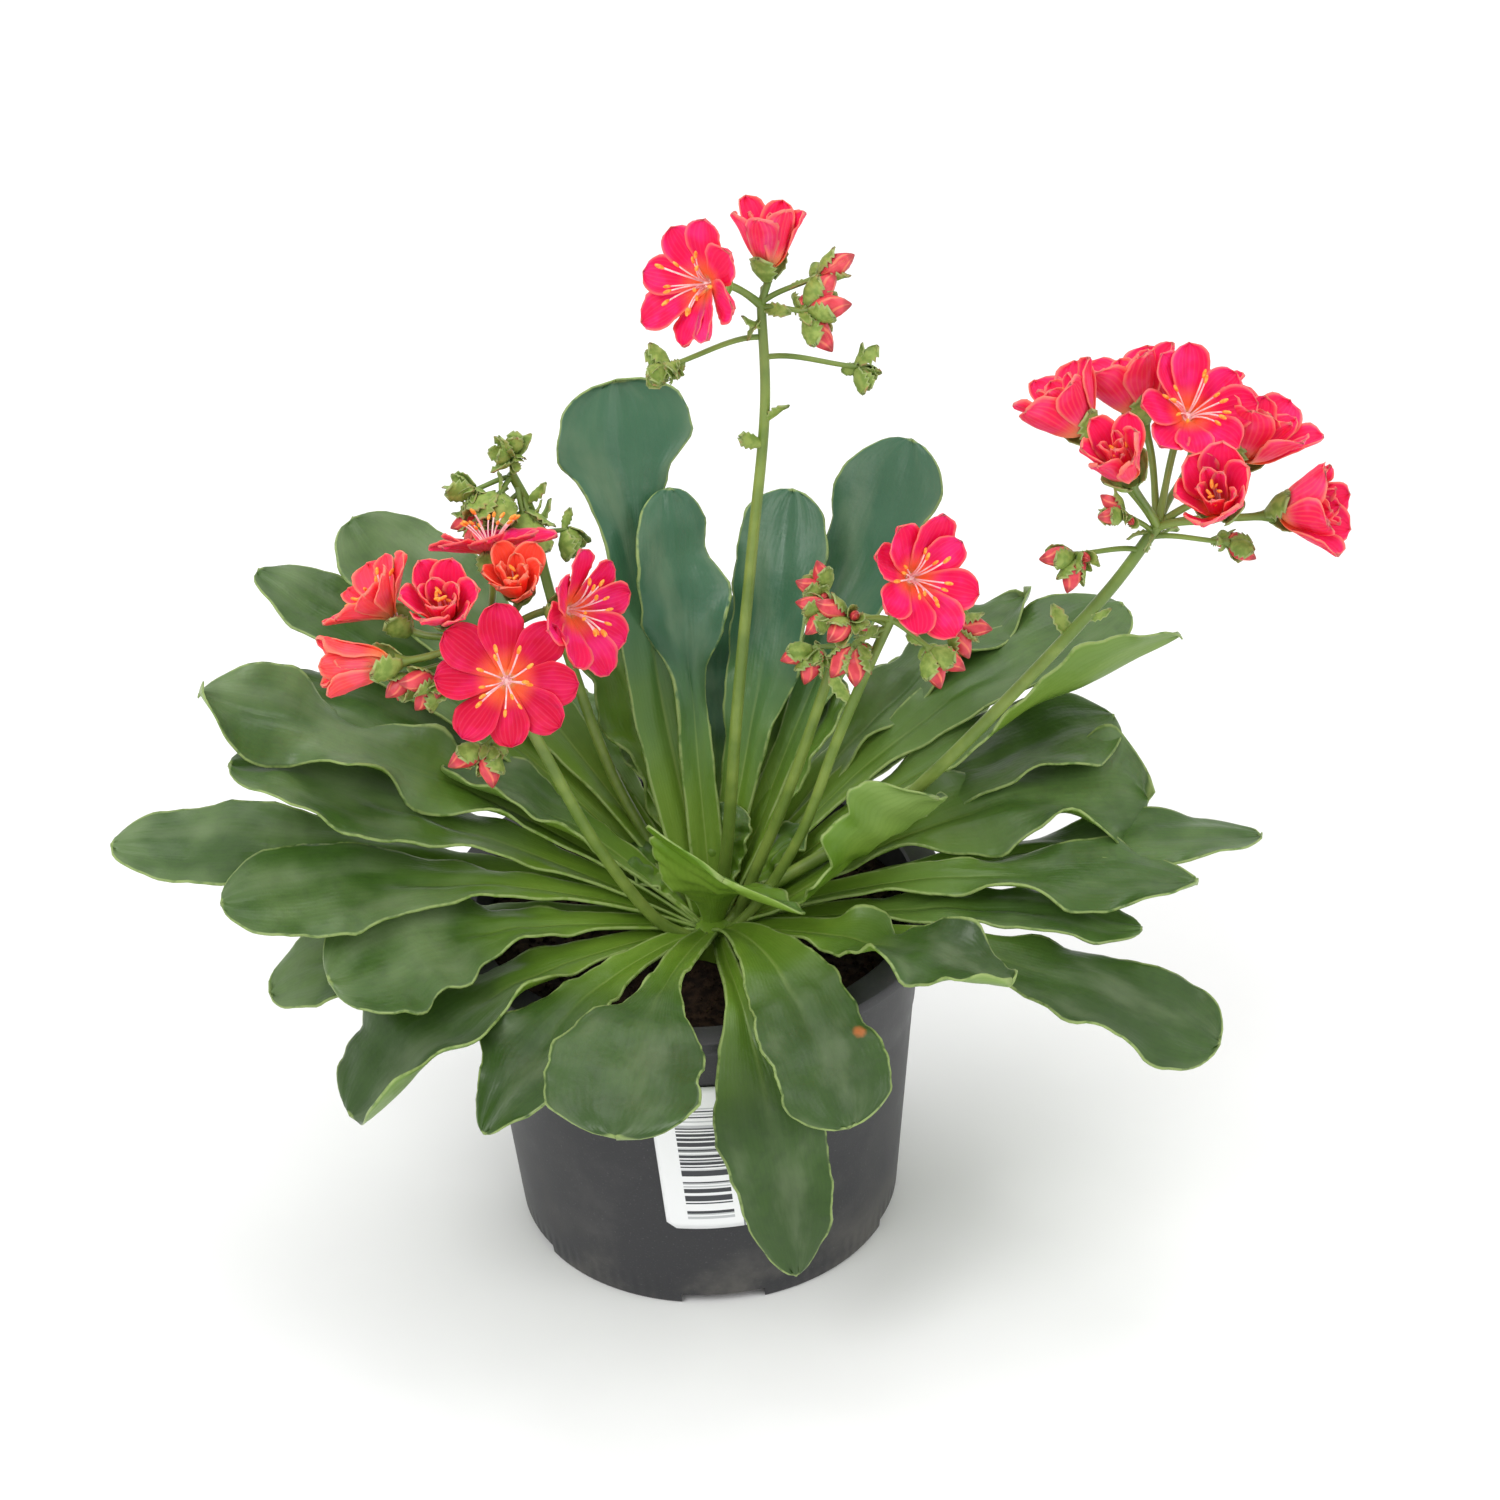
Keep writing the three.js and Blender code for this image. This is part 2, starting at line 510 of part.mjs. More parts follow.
// Blooms: place of the petals' base, the way the flower faces, how far it has opened, and its size
const BLOOMS = [
  { name: 'bloom_left_1', at: [-39, -26, 166], face: [-92, 30], open: 78, size: 1.02 },
  { name: 'bloom_left_2', at: [-25, -12, 175], face: [-35, 12], open: 66, size: 1 },
  { name: 'bloom_left_3', at: [-36, -5, 176], face: [-90, 68], open: 28, size: 0.8 },
  { name: 'bloom_left_4', at: [-52, -14, 176], face: [-95, 55], open: 38, size: 0.88 },
  { name: 'bloom_left_5', at: [-64, -12, 176], face: [165, 50], open: 52, size: 0.95 },
  { name: 'bloom_left_6', at: [-65, -22, 170], face: [182, 2], open: 16, size: 1 },
  { name: 'bloom_left_7', at: [-42, 6, 180], face: [95, 62], open: 80, size: 0.95 },
  { name: 'bloom_top_left', at: [10, -14, 254], face: [-135, 18], open: 66, size: 0.98 },
  { name: 'bloom_top_right', at: [23, -5, 253], face: [60, 84], open: 22, size: 0.95 },
  { name: 'bloom_middle', at: [50, -32, 190], face: [-62, 28], open: 62, size: 0.98 },
  { name: 'bloom_right_1', at: [90, -14, 214], face: [160, 42], open: 36, size: 1.04 },
  { name: 'bloom_right_2', at: [104, 0, 211], face: [140, 62], open: 42, size: 1.06 },
  { name: 'bloom_right_3', at: [113, -10, 214], face: [-75, 50], open: 60, size: 0.98 },
  { name: 'bloom_right_4', at: [98, -28, 210], face: [-130, 48], open: 26, size: 1 },
  { name: 'bloom_right_5', at: [126, -10, 203], face: [15, 52], open: 44, size: 1.1 },
  { name: 'bloom_right_6', at: [118, -27, 200], face: [-110, 42], open: 38, size: 1 },
  { name: 'bloom_right_7', at: [133, -19, 194], face: [-14, 6], open: 34, size: 1.08 },
  { name: 'bloom_right_8', at: [117, 8, 204], face: [100, 70], open: 44, size: 1 },
];

const along = ([x, y, z]) => new THREE.Vector3(x, y, z);
const faceOf = (bloom) => heading(...bloom.face);

// Two unit vectors square to an axis
function squareTo(axis) {
  const aside = Math.abs(axis.z) > 0.9 ? new THREE.Vector3(0, 1, 0) : UP;
  const first = new THREE.Vector3().crossVectors(aside, axis).normalize();
  return [first, new THREE.Vector3().crossVectors(axis, first)];
}

const BRACT = {
  root: 0.2, thick: 0.8, twist: 0, open: 90, curl: -20, stations: [[0, 0.5], [0.5, 1], [1, 0.25]],
};
const SEPAL = {
  root: 1, length: 6, width: 5.5, thick: 0.7, twist: 0, curl: 0, stations: [[0, 0.6], [1, 0.8]],
};

// A small flat blade that leaves an axis at an angle: a petal, a sepal or a bract.
// stations are [share of length, share of width]
function petal(base, axis, outward, shape, room) {
  const { root, length, width, open, curl, thick, twist, stations } = shape;
  const across0 = new THREE.Vector3().crossVectors(axis, outward).normalize();
  const rows = [];
  const normals = [];
  const centre = base.clone().addScaledVector(outward, root);
  let last = 0;
  for (const [s, share] of stations) {
    const angle = degrees(open + curl * s);
    const run = axis.clone().multiplyScalar(Math.cos(angle)).addScaledVector(outward, Math.sin(angle));
    centre.addScaledVector(run, (s - last) * length);
    last = s;
    const across = across0.clone().applyAxisAngle(run, degrees(twist));
    const end = (s === 1 ? room : 0) - (s === 0 ? room : 0);
    rows.push([1, -1].map((u) => centre.clone().addScaledVector(across, u * (0.5 * width * share + room))
      .addScaledVector(run, end)));
    normals.push(new THREE.Vector3().crossVectors(across, run));
  }
  return blade(rows, normals, thick + 2 * room);
}

// One flower: overlapping petals in a pinwheel on a short base, with a tuft of stamens
function bloomSolid(bloom, room) {
  const axis = faceOf(bloom);
  const base = along(bloom.at);
  const [first, second] = squareTo(axis);
  const count = bloom.open < 45 ? 5 : 7;
  const length = PETAL.length * bloom.size;
  const pitch = (2 * Math.PI * (1 + 0.6 * length * Math.sin(degrees(bloom.open)))) / count;
  const width = Math.min(PETAL.width * bloom.size, 1.4 * pitch);
  const rim = PETAL.throat / Math.tan(degrees(bloom.open - 4));
  const cup = [[1.3, -1.2 - room], [PETAL.throat, rim], [1.4, rim + 1 + room]];
  const tuft = [[1.2, rim], [0.3, rim + 6 + room]];
  const pieces = [[cup, 6], [tuft, 3]].map(([rings, sides]) => (
    spindle(base, axis, rings.map(([r, z]) => [r + room, z]), sides)));
  for (let i = 0; i < count; i++) {
    const turn = (2 * Math.PI * i) / count;
    const outward = first.clone().multiplyScalar(Math.cos(turn)).addScaledVector(second, Math.sin(turn));
    const shape = {
      root: 0.8, length, width, thick: PETAL.thick, twist: PETAL.pinwheel, open: bloom.open - 6, curl: 14,
      stations: [[0, PETAL.claw / width], [0.62, 1], [1, 0.5]],
    };
    pieces.push(petal(base, axis, outward, shape, room));
  }
  return wasm.Manifold.union(pieces);
}

// A curve from a point on the stem that arrives at its end along an axis
function arching(from, to, axis) {
  const reach = from.distanceTo(to);
  return new THREE.CubicBezierCurve3(from, from.clone().lerp(to, 0.3).addScaledVector(UP, 0.1 * reach),
    to.clone().addScaledVector(axis, -0.4 * reach), to);
}

// A bud on its short pedicel: a pointed spindle
function budSolid(root, axis, size, room) {
  const [r, l] = [BUD.radius * size, BUD.length * size];
  const rings = [[0.7, 0], [0.8, BUD.stalk], [r, BUD.stalk + 0.4 * l], [0.4, BUD.stalk + l]];
  return spindle(root, axis, rings.map(([radius, z], i) => [radius + room, z + (i === 3 ? room : 0)]), 4);
}

function stemSolid(stem, room) {
  const route = new THREE.CatmullRomCurve3(stem.route.map(along), false, 'centripetal');
  const rings = [0, 0.1, 0.3, 0.55, 0.8, 1].map((t) => [t, THREE.MathUtils.lerp(...stem.thick, t) + room]);
  const pieces = [stalk(route, rings, 5)];
  for (const [x, y, z, bearing, tilt, length] of stem.bracts) {
    const run = heading(bearing, tilt);
    const shape = { ...BRACT, length, width: 0.55 * length };
    pieces.push(petal(along([x, y, z]), squareTo(run)[1], run, shape, room));
  }
  for (const { from, to, buds, size } of stem.shoots) {
    const [start, end] = [along(from), along(to)];
    const way = end.clone().sub(start).normalize();
    pieces.push(stalk(arching(start, end, way), [0, 0.5, 1].map((t) => [t, SHOOT + room]), 3));
    for (const [bearing, tilt] of buds) {
      pieces.push(budSolid(end.clone().addScaledVector(way, -0.4), heading(bearing, tilt), size, room));
    }
  }
  for (const name of stem.blooms) {
    const bloom = BLOOMS.find((one) => one.name === name);
    const axis = faceOf(bloom);
    const seat = along(bloom.at).addScaledVector(axis, -1.2 - GAP);
    const top = along(stem.route.at(-1)).addScaledVector(UP, -0.6);
    const curve = arching(top, seat, axis);
    const end = 1 - 3 / curve.getLength();
    const radii = [[0, 1], [0.4 * end, 1], [end, 1.2], [1, 2.1]];
    pieces.push(stalk(curve, radii.map(([t, r]) => [t, r + room]), 3));
    for (const outward of [squareTo(axis)[0], squareTo(axis)[0].negate()]) {
      const shape = { ...SEPAL, open: Math.min(100, bloom.open + 18) };
      pieces.push(petal(seat.clone().addScaledVector(axis, -1), axis, outward, shape, room));
    }
  }
  return wasm.Manifold.union(pieces);
}

// Where two pieces would cross, the later one is cut back from the earlier by the gap
const boxesMeet = (a, b) => [0, 1, 2].every((i) => a.min[i] <= b.max[i] && b.min[i] <= a.max[i]);

// The largest piece of a solid, without the slivers its joins and cuts leave
const largest = (solid) => solid.decompose().reduce((a, b) => (a.volume() > b.volume() ? a : b));
const tidied = (solid) => largest(largest(solid).asOriginal().simplify(SLIVER));


const heartLeaves = LEAVES.filter(isHeart);

const drafts = [
  ...STEMS.map((spec) => ({ spec, colour: COLOURS.stem, make: stemSolid })),
  ...BLOOMS.map((spec) => ({ spec, colour: COLOURS.petal, make: bloomSolid })),
  ...LEAVES.filter((leaf) => !isHeart(leaf)).map((spec) => ({ spec, colour: COLOURS.leaf, make: leafSolid })),
];

// The crown: the root neck, widening to a dome ribbed by the joined leaf bases, and the youngest leaves
function crownDome(room) {
  const { at, reach, depth, ribs, rib, root, foot } = CROWN;
  const rings = [[root, foot - at.z], [root, SOIL.level + 1 - at.z]];
  for (const tilt of [-10, 25, 55, 80]) {
    rings.push([reach * Math.cos(degrees(tilt)), depth * Math.sin(degrees(tilt))]);
  }
  const last = rings.length - 1;
  const dome = rings.map(([r, z], i) => [r + room, z - (i === 0 ? room : 0) + (i === last ? room : 0)]);
  return spindle(at, UP, dome, 2 * ribs, (j, i) => (i > 1 && i < 5 && j % 2 ? -rib : 0));
}

function crownSolid(room) {
  return wasm.Manifold.union([crownDome(room), ...heartLeaves.map((leaf) => leafSolid(leaf, room))]);
}

const parts = [
  { name: 'pot', colour: COLOURS.pot, solid: potSolid() },
  { name: 'soil', colour: COLOURS.soil, solid: soilSolid() },
  { name: 'label', colour: COLOURS.label, solid: labelSolid() },
  { name: 'crown', colour: COLOURS.crown, solid: tidied(crownSolid(0)) },
];
const settled = [potBarrier(), crownSolid(GAP)].map((grown) => ({ grown, box: grown.boundingBox() }));
for (const { spec, colour, make } of drafts) {
  const grown = make(spec, GAP);
  const box = grown.boundingBox();
  let solid = make(spec, 0);
  for (const other of settled) {
    const crosses = boxesMeet(box, other.box) && !solid.intersect(other.grown).isEmpty();
    if (crosses) solid = solid.subtract(other.grown);
  }
  settled.push({ grown, box });
  parts.push({ name: spec.name, colour, solid: tidied(solid) });
}

// The finished group, one named mesh for each part
function meshOf({ name, colour, solid }) {
  const { vertProperties, triVerts } = solid.getMesh();
  const geometry = new THREE.BufferGeometry();
  geometry.setAttribute('position', new THREE.BufferAttribute(vertProperties, 3));
  geometry.setIndex(new THREE.BufferAttribute(triVerts, 1));
  geometry.computeVertexNormals();
  const material = new THREE.MeshStandardMaterial({ color: colour, roughness: 0.6, metalness: 0 });
  const mesh = new THREE.Mesh(geometry, material);
  mesh.name = name;
  return mesh;
}

const plant = new THREE.Group();
for (const part of parts) plant.add(meshOf(part));

export default plant;
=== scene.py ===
import math

import bmesh
import bpy
import numpy as np
from bpy.props import FloatProperty, FloatVectorProperty, IntProperty, PointerProperty
from mathutils import Matrix, Vector


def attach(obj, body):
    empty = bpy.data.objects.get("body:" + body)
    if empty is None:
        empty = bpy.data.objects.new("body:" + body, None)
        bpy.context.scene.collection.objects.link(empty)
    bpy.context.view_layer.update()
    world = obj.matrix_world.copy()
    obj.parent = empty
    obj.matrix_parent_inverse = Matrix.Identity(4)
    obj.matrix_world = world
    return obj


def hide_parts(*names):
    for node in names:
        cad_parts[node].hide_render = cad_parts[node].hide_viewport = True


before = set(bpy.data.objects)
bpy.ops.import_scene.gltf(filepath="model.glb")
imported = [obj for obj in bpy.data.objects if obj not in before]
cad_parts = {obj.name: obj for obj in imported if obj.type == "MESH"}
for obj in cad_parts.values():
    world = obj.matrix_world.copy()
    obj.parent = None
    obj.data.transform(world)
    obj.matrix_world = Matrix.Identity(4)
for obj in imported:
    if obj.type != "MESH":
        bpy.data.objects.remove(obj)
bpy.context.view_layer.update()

bl_info = {
    "name": "Potted Siskiyou Lewisia",
    "version": (1, 0, 0),
    "blender": (4, 5, 0),
    "location": "3D Viewport > Sidebar > Lewisia",
    "description": "Builds a flowering siskiyou lewisia in its nursery pot",
    "category": "Add Mesh",
}

MM = 0.001


def hex_colour(text):
    """An sRGB hex value as linear RGBA."""
    channels = [int(text[i:i + 2], 16) / 255 for i in (1, 3, 5)]
    return tuple(c / 12.92 if c <= 0.04045 else ((c + 0.055) / 1.055) ** 2.4 for c in channels) + (1.0,)


def add(tree, kind, links=None, **settings):
    """Adds a node with settings and inputs. A node given as an input stands for its first output in use."""
    node = tree.nodes.new(kind)
    for name, value in settings.items():
        setattr(node, name, value)
    for socket, source in (links or {}).items():
        if isinstance(source, bpy.types.Node):
            source = next(output for output in source.outputs if output.enabled)
        if isinstance(source, bpy.types.NodeSocket):
            tree.links.new(source, node.inputs[socket])
        else:
            node.inputs[socket].default_value = source
    return node


CROWN = dict(at=(4, -8, 84), reach=11.5, depth=8, ribs=11, root=8, foot=68, young=0.62)
LEAF = dict(
    thick=1.2, neck=8, flare=0.1, peak=0.82, channel=0.9, spring=0.4, hang=0.35,
    left=0.15, right=0.15, turn=0, ruffle=0.5, waves=2.5, phase=0, sway=0, sunk=6, tip=0, crimp=1.6,
)
POT = dict(height=88, rim=60, lip=3.5, top=54, foot=46.5, wall=1.6, base=1.8)
NOTCH = dict(count=5, first=-88, width=20, height=3, depth=5)
SOIL = dict(level=79, reach=51, crumbs=260000.0)
LABEL = dict(bearing=-89, low=26, tall=45, width=26.5, thick=0.6, lean=3, row=0.45, corner=2.2, paper=0.35)
PETAL = dict(length=16, width=9.6, claw=2.2, thick=0.45)
GAP = 0.3

# A flower that opens by fewer degrees is a cup. Its petals are as wide as if so many stood in a round. Bowl
# and turned bend them along, hollow across, and calyx is how far the calyx sits below the flower.
CUP = 45
# A cup's tone of 0.9 gives its petals a lighter pink, painted light against the shade inside the cup.
CUPPED = dict(round_of=5, bowl=34, turned=18, hollow=0.42, tone=0.9, fewer=2, inner=5, stamens=6, spread=0.15,
              calyx=1.5)
OPEN = dict(round_of=7, bowl=-14, turned=10, hollow=0.25, tone=0.1, fewer=0, inner=0, stamens=24, spread=0.62,
            calyx=4.2)
# Side shoots: radii at root and end, length of a bud's own stalk, size of the younger buds beside the listed
# ones, and the size below which a shoot bears empty calyces.
SHOOT = dict(radii=(0.65, 0.55), stalk=2.6, young=0.62, empty=0.8)
# The tone of a leaf by its side of the plant: painted shade darkens the front leaves, a grey painted sheen
# covers the side leaves and the back leaves are blue-green.
TONES = dict(back=0.85, front=0.0, left=0.5, right=0.48)
# The rusty spot on one front leaf: shares of its length and width, and millimetres.
BLEMISH = dict(along=0.66, across=0.84, radius=3)
# Place, width across and watts.
LIGHTS = {
    "key": ((-0.9, -1.1, 1.7), 1.0, 17.0),
    "fill": ((1.3, -0.7, 1.1), 1.2, 7.0),
    "top": ((0.1, 0.5, 1.9), 1.2, 9.0),
}
CAMERA = dict(pitch=32.5, yaw=1.15, roll=-2.5, place=(0, -0.727, 0.591), sensor=36.0, focal=3700, frame=1500)


def blade(bearing, reach, rise, lift, fall, head, *edges, **own):
    """A leaf's row: bearing, reach and rise of its tip from the crown, tilts at root and tip, width of its
    head, edges as (share of its length, factor of its left width, factor of its right) and its own shape."""
    return dict(own, bearing=bearing, reach=reach, rise=rise, lift=lift, fall=fall, head=head, edges=edges)


LEAVES = {
    "leaf_heart_fold": blade(-84, 26, 31, 70, 40, 34, (0.6, 1, 1), (0.8, 1.1, 1.1), (0.93, 1.3, 1.35),
        peak=0.8, left=0.25, right=0.25, turn=-40, tip=-0.5),
    "leaf_heart_left": blade(160, 22, 18, 55, 20, 15),
    "leaf_heart_right": blade(63, 11, 28, 80, 60, 14),
    "leaf_heart_young_back": blade(115, 37, 40, 62, 35, 15, ruffle=1.8, waves=3, phase=0.2),
    "leaf_heart_young_right": blade(55, 47, 51, 60, 40, 16, ruffle=1.8, waves=3.5),
    "leaf_heart_young_east": blade(38, 42, 51, 62, 45, 13),
    "leaf_heart_small": blade(18, 24, 21, 50, 20, 11),
    "leaf_heart_west": blade(132, 66, 38, 42, 14, 27, (0.6, 0.8, 0.85), (0.75, 1.1, 0.9), (0.85, 0.85, 1.1),
        crimp=2),
    "leaf_heart_north_west": blade(118, 50, 60, 62, 45, 20, (0.5, 0.8, 0.8), (0.68, 1.1, 1.15),
        (0.8, 0.8, 0.85), (0.9, 1.05, 1), crimp=2.2),
    "leaf_fold_right": blade(-13, 54, 41, 30, 40, 30, (0.3, 1, 1.1), (0.5, 1, 1.3), (0.57, 1, 0.95),
        (0.66, 1, 1.3), (0.74, 1, 1.0), (0.84, 1, 1.3), left=0.9, right=0.5, turn=-55, flare=-0.15, neck=11,
        crimp=1.8),
    "leaf_fold_left": blade(171, 62, 43, 48, 20, 20, (0.6, 1.2, 1), (0.8, 0.9, 1.1), (0.9, 1.25, 1), left=0.9,
        right=0.2, crimp=2),
    "leaf_back_wavy": blade(98, 36, 99, 76, 62, 20.5, (0.45, 0.95, 0.8), (0.58, 0.8, 0.75), (0.68, 1.15, 1.1),
        (0.76, 0.95, 1.15), (0.85, 1, 0.72), (0.93, 1, 0.95), peak=0.8, ruffle=2.2, waves=2.6, flare=0.48,
        neck=9),
    "leaf_back_low": blade(84, 46, 65, 62, 48, 20),
    "leaf_back_tall": blade(107, 55, 119, 72, 58, 31.5, (0.5, 1, 1), (0.74, 0.9, 0.7), (0.82, 0.85, 0.75),
        (0.88, 1, 1.08), peak=0.9, ruffle=1, waves=2, sway=5, flare=0.66, neck=15),
    "leaf_back_centre": blade(62, 51, 92, 68, 55, 22, (0.45, 1, 0.85), (0.62, 1, 1.1), (0.7, 1, 0.9),
        (0.85, 1, 1.05), peak=0.85, ruffle=0.8, sway=-2),
    "leaf_back_right": blade(45, 75, 99, 58, 48, 28, (0.6, 0.8, 1), (0.75, 0.9, 1.1), (0.83, 1, 0.92),
        (0.93, 1.02, 1.06), peak=0.84, ruffle=1, sway=-2, flare=0.3),
    "leaf_right_channel": blade(40, 106, 46, 42, 5, 20, (0.5, 0.85, 0.9), (0.7, 1.1, 1), (0.85, 0.95, 1.1),
        left=0.7, right=0.7, ruffle=2, waves=4, crimp=2),
    "leaf_right_long": blade(18, 121, 51, 36, 14, 21, (0.5, 0.85, 0.85), (0.7, 1.05, 1), (0.82, 0.9, 1.15),
        (0.92, 0.95, 1.2), left=0.8, right=0.7, ruffle=1, turn=-60, crimp=2, tip=0.5),
    "leaf_right_back": blade(29, 119, 48, 43, 6, 27, (0.5, 0.8, 0.85), (0.75, 1.05, 1), (0.9, 1, 1.05),
        peak=0.85, crimp=1.7),
    "leaf_right_far": blade(46, 97, 26, 40, 6, 32),
    "leaf_left_pale": blade(152, 118, 72, 42, 20, 24, (0.7, 1, 1.1), (0.8, 1.05, 0.9), (0.92, 1, 1.08),
        crimp=1.7),
    "leaf_left_high": blade(140, 107, 77, 46, 24, 32, (0.6, 0.9, 0.9), (0.8, 1, 1.05), (0.93, 1.08, 1),
        peak=0.85),
    "leaf_left_wavy": blade(174, 116, 65, 42, 22, 24, (0.5, 1, 1), (0.62, 0.8, 1), (0.72, 1.15, 1),
        (0.8, 0.85, 1), (0.9, 1.15, 1.05), ruffle=2.2, waves=3.2, turn=-15, crimp=2.5),
    "leaf_left_upper": blade(162, 104, 56, 40, 16, 24, (0.55, 0.8, 1), (0.68, 1.15, 1), (0.8, 0.9, 1.05),
        (0.92, 1.05, 1), ruffle=1, crimp=2),
    "leaf_left_under": blade(180, 109, 53, 34, 22, 30, (0.5, 0.9, 1), (0.7, 1.1, 1), (0.82, 0.92, 1),
        ruffle=0.8, crimp=1.8),
    "leaf_right_round": blade(22, 108, 27, 26, 0, 30, (0.5, 0.8, 0.85), (0.7, 1.05, 0.95), (0.85, 0.95, 1.1),
        ruffle=1.2, crimp=2),
    "leaf_right_waved": blade(11, 108, 15, 22, -25, 34, (0.45, 0.75, 0.8), (0.62, 0.85, 1), (0.74, 1.1, 0.8),
        (0.84, 0.85, 1.05), (0.93, 1.05, 0.9), ruffle=2.4, waves=2.4, turn=15, crimp=2.6),
    "leaf_right_flat": blade(4, 132, 11, 14, -6, 20, (0.4, 0.8, 0.8), (0.6, 0.9, 0.9), (0.74, 1.2, 1),
        (0.84, 1.05, 1), (0.93, 1.05, 1.15), ruffle=1.2, waves=3, crimp=1.7, tip=0),
    "leaf_right_split": blade(-5, 114, 12, 24, -4, 20, (0.5, 0.85, 0.85), (0.66, 1, 1), (0.74, 0.9, 1.25),
        (0.84, 1.25, 1.05), (0.92, 1.25, 1.1), ruffle=1.4, waves=3, turn=8, crimp=1.8, tip=0.6),
    "leaf_right_low": blade(-9, 101, 3, 10, -16, 18, (0.6, 0.9, 0.9), (0.8, 1.1, 1.15), (0.92, 1, 1),
        crimp=1.7, tip=0.5),
    "leaf_left_long": blade(178, 139.8, 29, 26, 4, 24, (0.45, 0.75, 0.75), (0.6, 0.9, 1.15), (0.7, 1, 1.02),
        (0.8, 1.05, 1.15), (0.92, 1.02, 0.95), ruffle=0.6, turn=-18, crimp=2.1),
    "leaf_left_broad": blade(-170, 114, 27.5, 31.2, 0, 26, (0.4, 0.75, 0.8), (0.6, 0.85, 0.95),
        (0.75, 1.12, 1), (0.9, 1.05, 1.1), turn=-20, crimp=1.7),
    "leaf_left_front": blade(-160, 94, 13, 22, -12, 32, (0.35, 0.7, 0.75), (0.5, 0.62, 0.8),
        (0.62, 0.7, 0.95), (0.68, 1.0, 1), (0.74, 0.85, 1.02), (0.82, 1.05, 1.05), ruffle=0.8, turn=-28,
        crimp=2.1),
    "leaf_left_low": blade(-176, 106, -7, 14, -28, 24, (0.6, 0.9, 1), (0.8, 1.1, 1), turn=-15, crimp=1.7),
    "leaf_front_left": blade(-150, 98, -13, 14, -42, 38, (0.4, 0.8, 0.85), (0.58, 0.85, 1), (0.68, 1.15, 1),
        (0.76, 0.8, 1.03), (0.88, 1.1, 1.05), ruffle=1.6, waves=2.6, left=1, crimp=2.2),
    "leaf_front_centre": blade(-104, 98, 13, 26, -28, 36, (0.5, 0.8, 1.05), (0.6, 0.8, 0.9),
        (0.68, 0.85, 1.15), (0.74, 0.9, 1.05), (0.84, 0.9, 1.05), (0.93, 1, 1.05), peak=0.85, flare=0.4,
        neck=8),
    "leaf_front_curl": blade(-130, 84, -8, 20, -40, 25, (0.4, 0.8, 0.8), (0.6, 1, 0.95), (0.75, 1, 1.15),
        (0.86, 1, 0.72), (0.94, 0.95, 0.85), tip=0.85, crimp=2),
    "leaf_front_right": blade(-42, 87, 20, 24, 0, 20, (0.4, 1.05, 1), (0.5, 1.45, 1), (0.56, 0.9, 1),
        (0.7, 1, 1.1), (0.85, 1.05, 1.0), left=0.9, ruffle=1.4, waves=3, turn=-12, crimp=2.4),
    "leaf_front_spot": blade(-69, 76, -7, 36, -45, 26.5, (0.2, 1.1, 1), (0.35, 1.2, 1), (0.5, 1.2, 1),
        (0.66, 1, 1.05), (0.8, 1.05, 0.97), (0.92, 1.1, 1), hang=0.45, flare=0, neck=7),
    "leaf_front_droop": blade(-20, 122, -12, 16, -24, 29, (0.45, 0.75, 0.8), (0.62, 1, 0.95),
        (0.72, 1.05, 1.25), (0.8, 1, 1.02), (0.9, 1.1, 1.12), (0.97, 1, 1.1), sway=-3, peak=0.88, neck=6,
        crimp=2.2),
    "leaf_front_hang": blade(-79, 74, -47, 14, -80, 25, (0.5, 1, 1.15), (0.66, 1, 1.05), (0.72, 0.93, 1),
        (0.8, 1.06, 0.9), (0.9, 1.05, 1), sway=-4, hang=0.88, flare=0.25, peak=0.68, neck=5, tip=0.5),
}

# At is the middle of a flower's base, face is the bearing and tilt of its axis, open is how many degrees its
# petals lean from that axis, and tone is its colour, from deep pink below 0 to orange at 2; from 0.2 upwards
# it adds a lighter pink that is painted light, as in the cups.
BLOOMS = {
    "bloom_left_1": dict(at=(-39, -26, 166), face=(-92, 30), open=78, size=1.02, tone=-0.5),
    "bloom_left_2": dict(at=(-25, -12, 175), face=(-35, 12), open=66, size=1),
    "bloom_left_3": dict(at=(-36, -5, 176), face=(-90, 68), open=28, size=0.8, tone=2.0),
    "bloom_left_4": dict(at=(-52, -14, 176), face=(-95, 62), open=32, size=0.88),
    "bloom_left_5": dict(at=(-64, -12, 176), face=(165, 50), open=52, size=0.95, tone=1.56),
    "bloom_left_6": dict(at=(-65, -22, 170), face=(182, 2), open=16, size=1, tone=1.6),
    "bloom_left_7": dict(at=(-42, 6, 180), face=(95, 62), open=80, size=0.95),
    "bloom_top_left": dict(at=(10, -14, 254), face=(-135, 18), open=66, size=0.98),
    "bloom_top_right": dict(at=(23, -5, 253), face=(60, 84), open=22, size=0.95),
    "bloom_middle": dict(at=(50, -32, 190), face=(-62, 28), open=62, size=0.98),
    "bloom_right_1": dict(at=(90, -14, 214), face=(150, 56), open=32, size=1.04),
    "bloom_right_2": dict(at=(104, 0, 211), face=(140, 66), open=36, size=1.06),
    "bloom_right_3": dict(at=(113, -10, 214), face=(-75, 50), open=60, size=0.98),
    "bloom_right_4": dict(at=(98, -28, 210), face=(-130, 60), open=20, size=1.03),
    "bloom_right_5": dict(at=(126, -10, 203), face=(15, 62), open=38, size=1.08),
    "bloom_right_6": dict(at=(118, -27, 200), face=(-110, 55), open=27, size=1.06),
    "bloom_right_7": dict(at=(133, -19, 194), face=(-24, 20), open=31, size=1.06),
    "bloom_right_8": dict(at=(117, 8, 204), face=(100, 70), open=44, size=1),
}

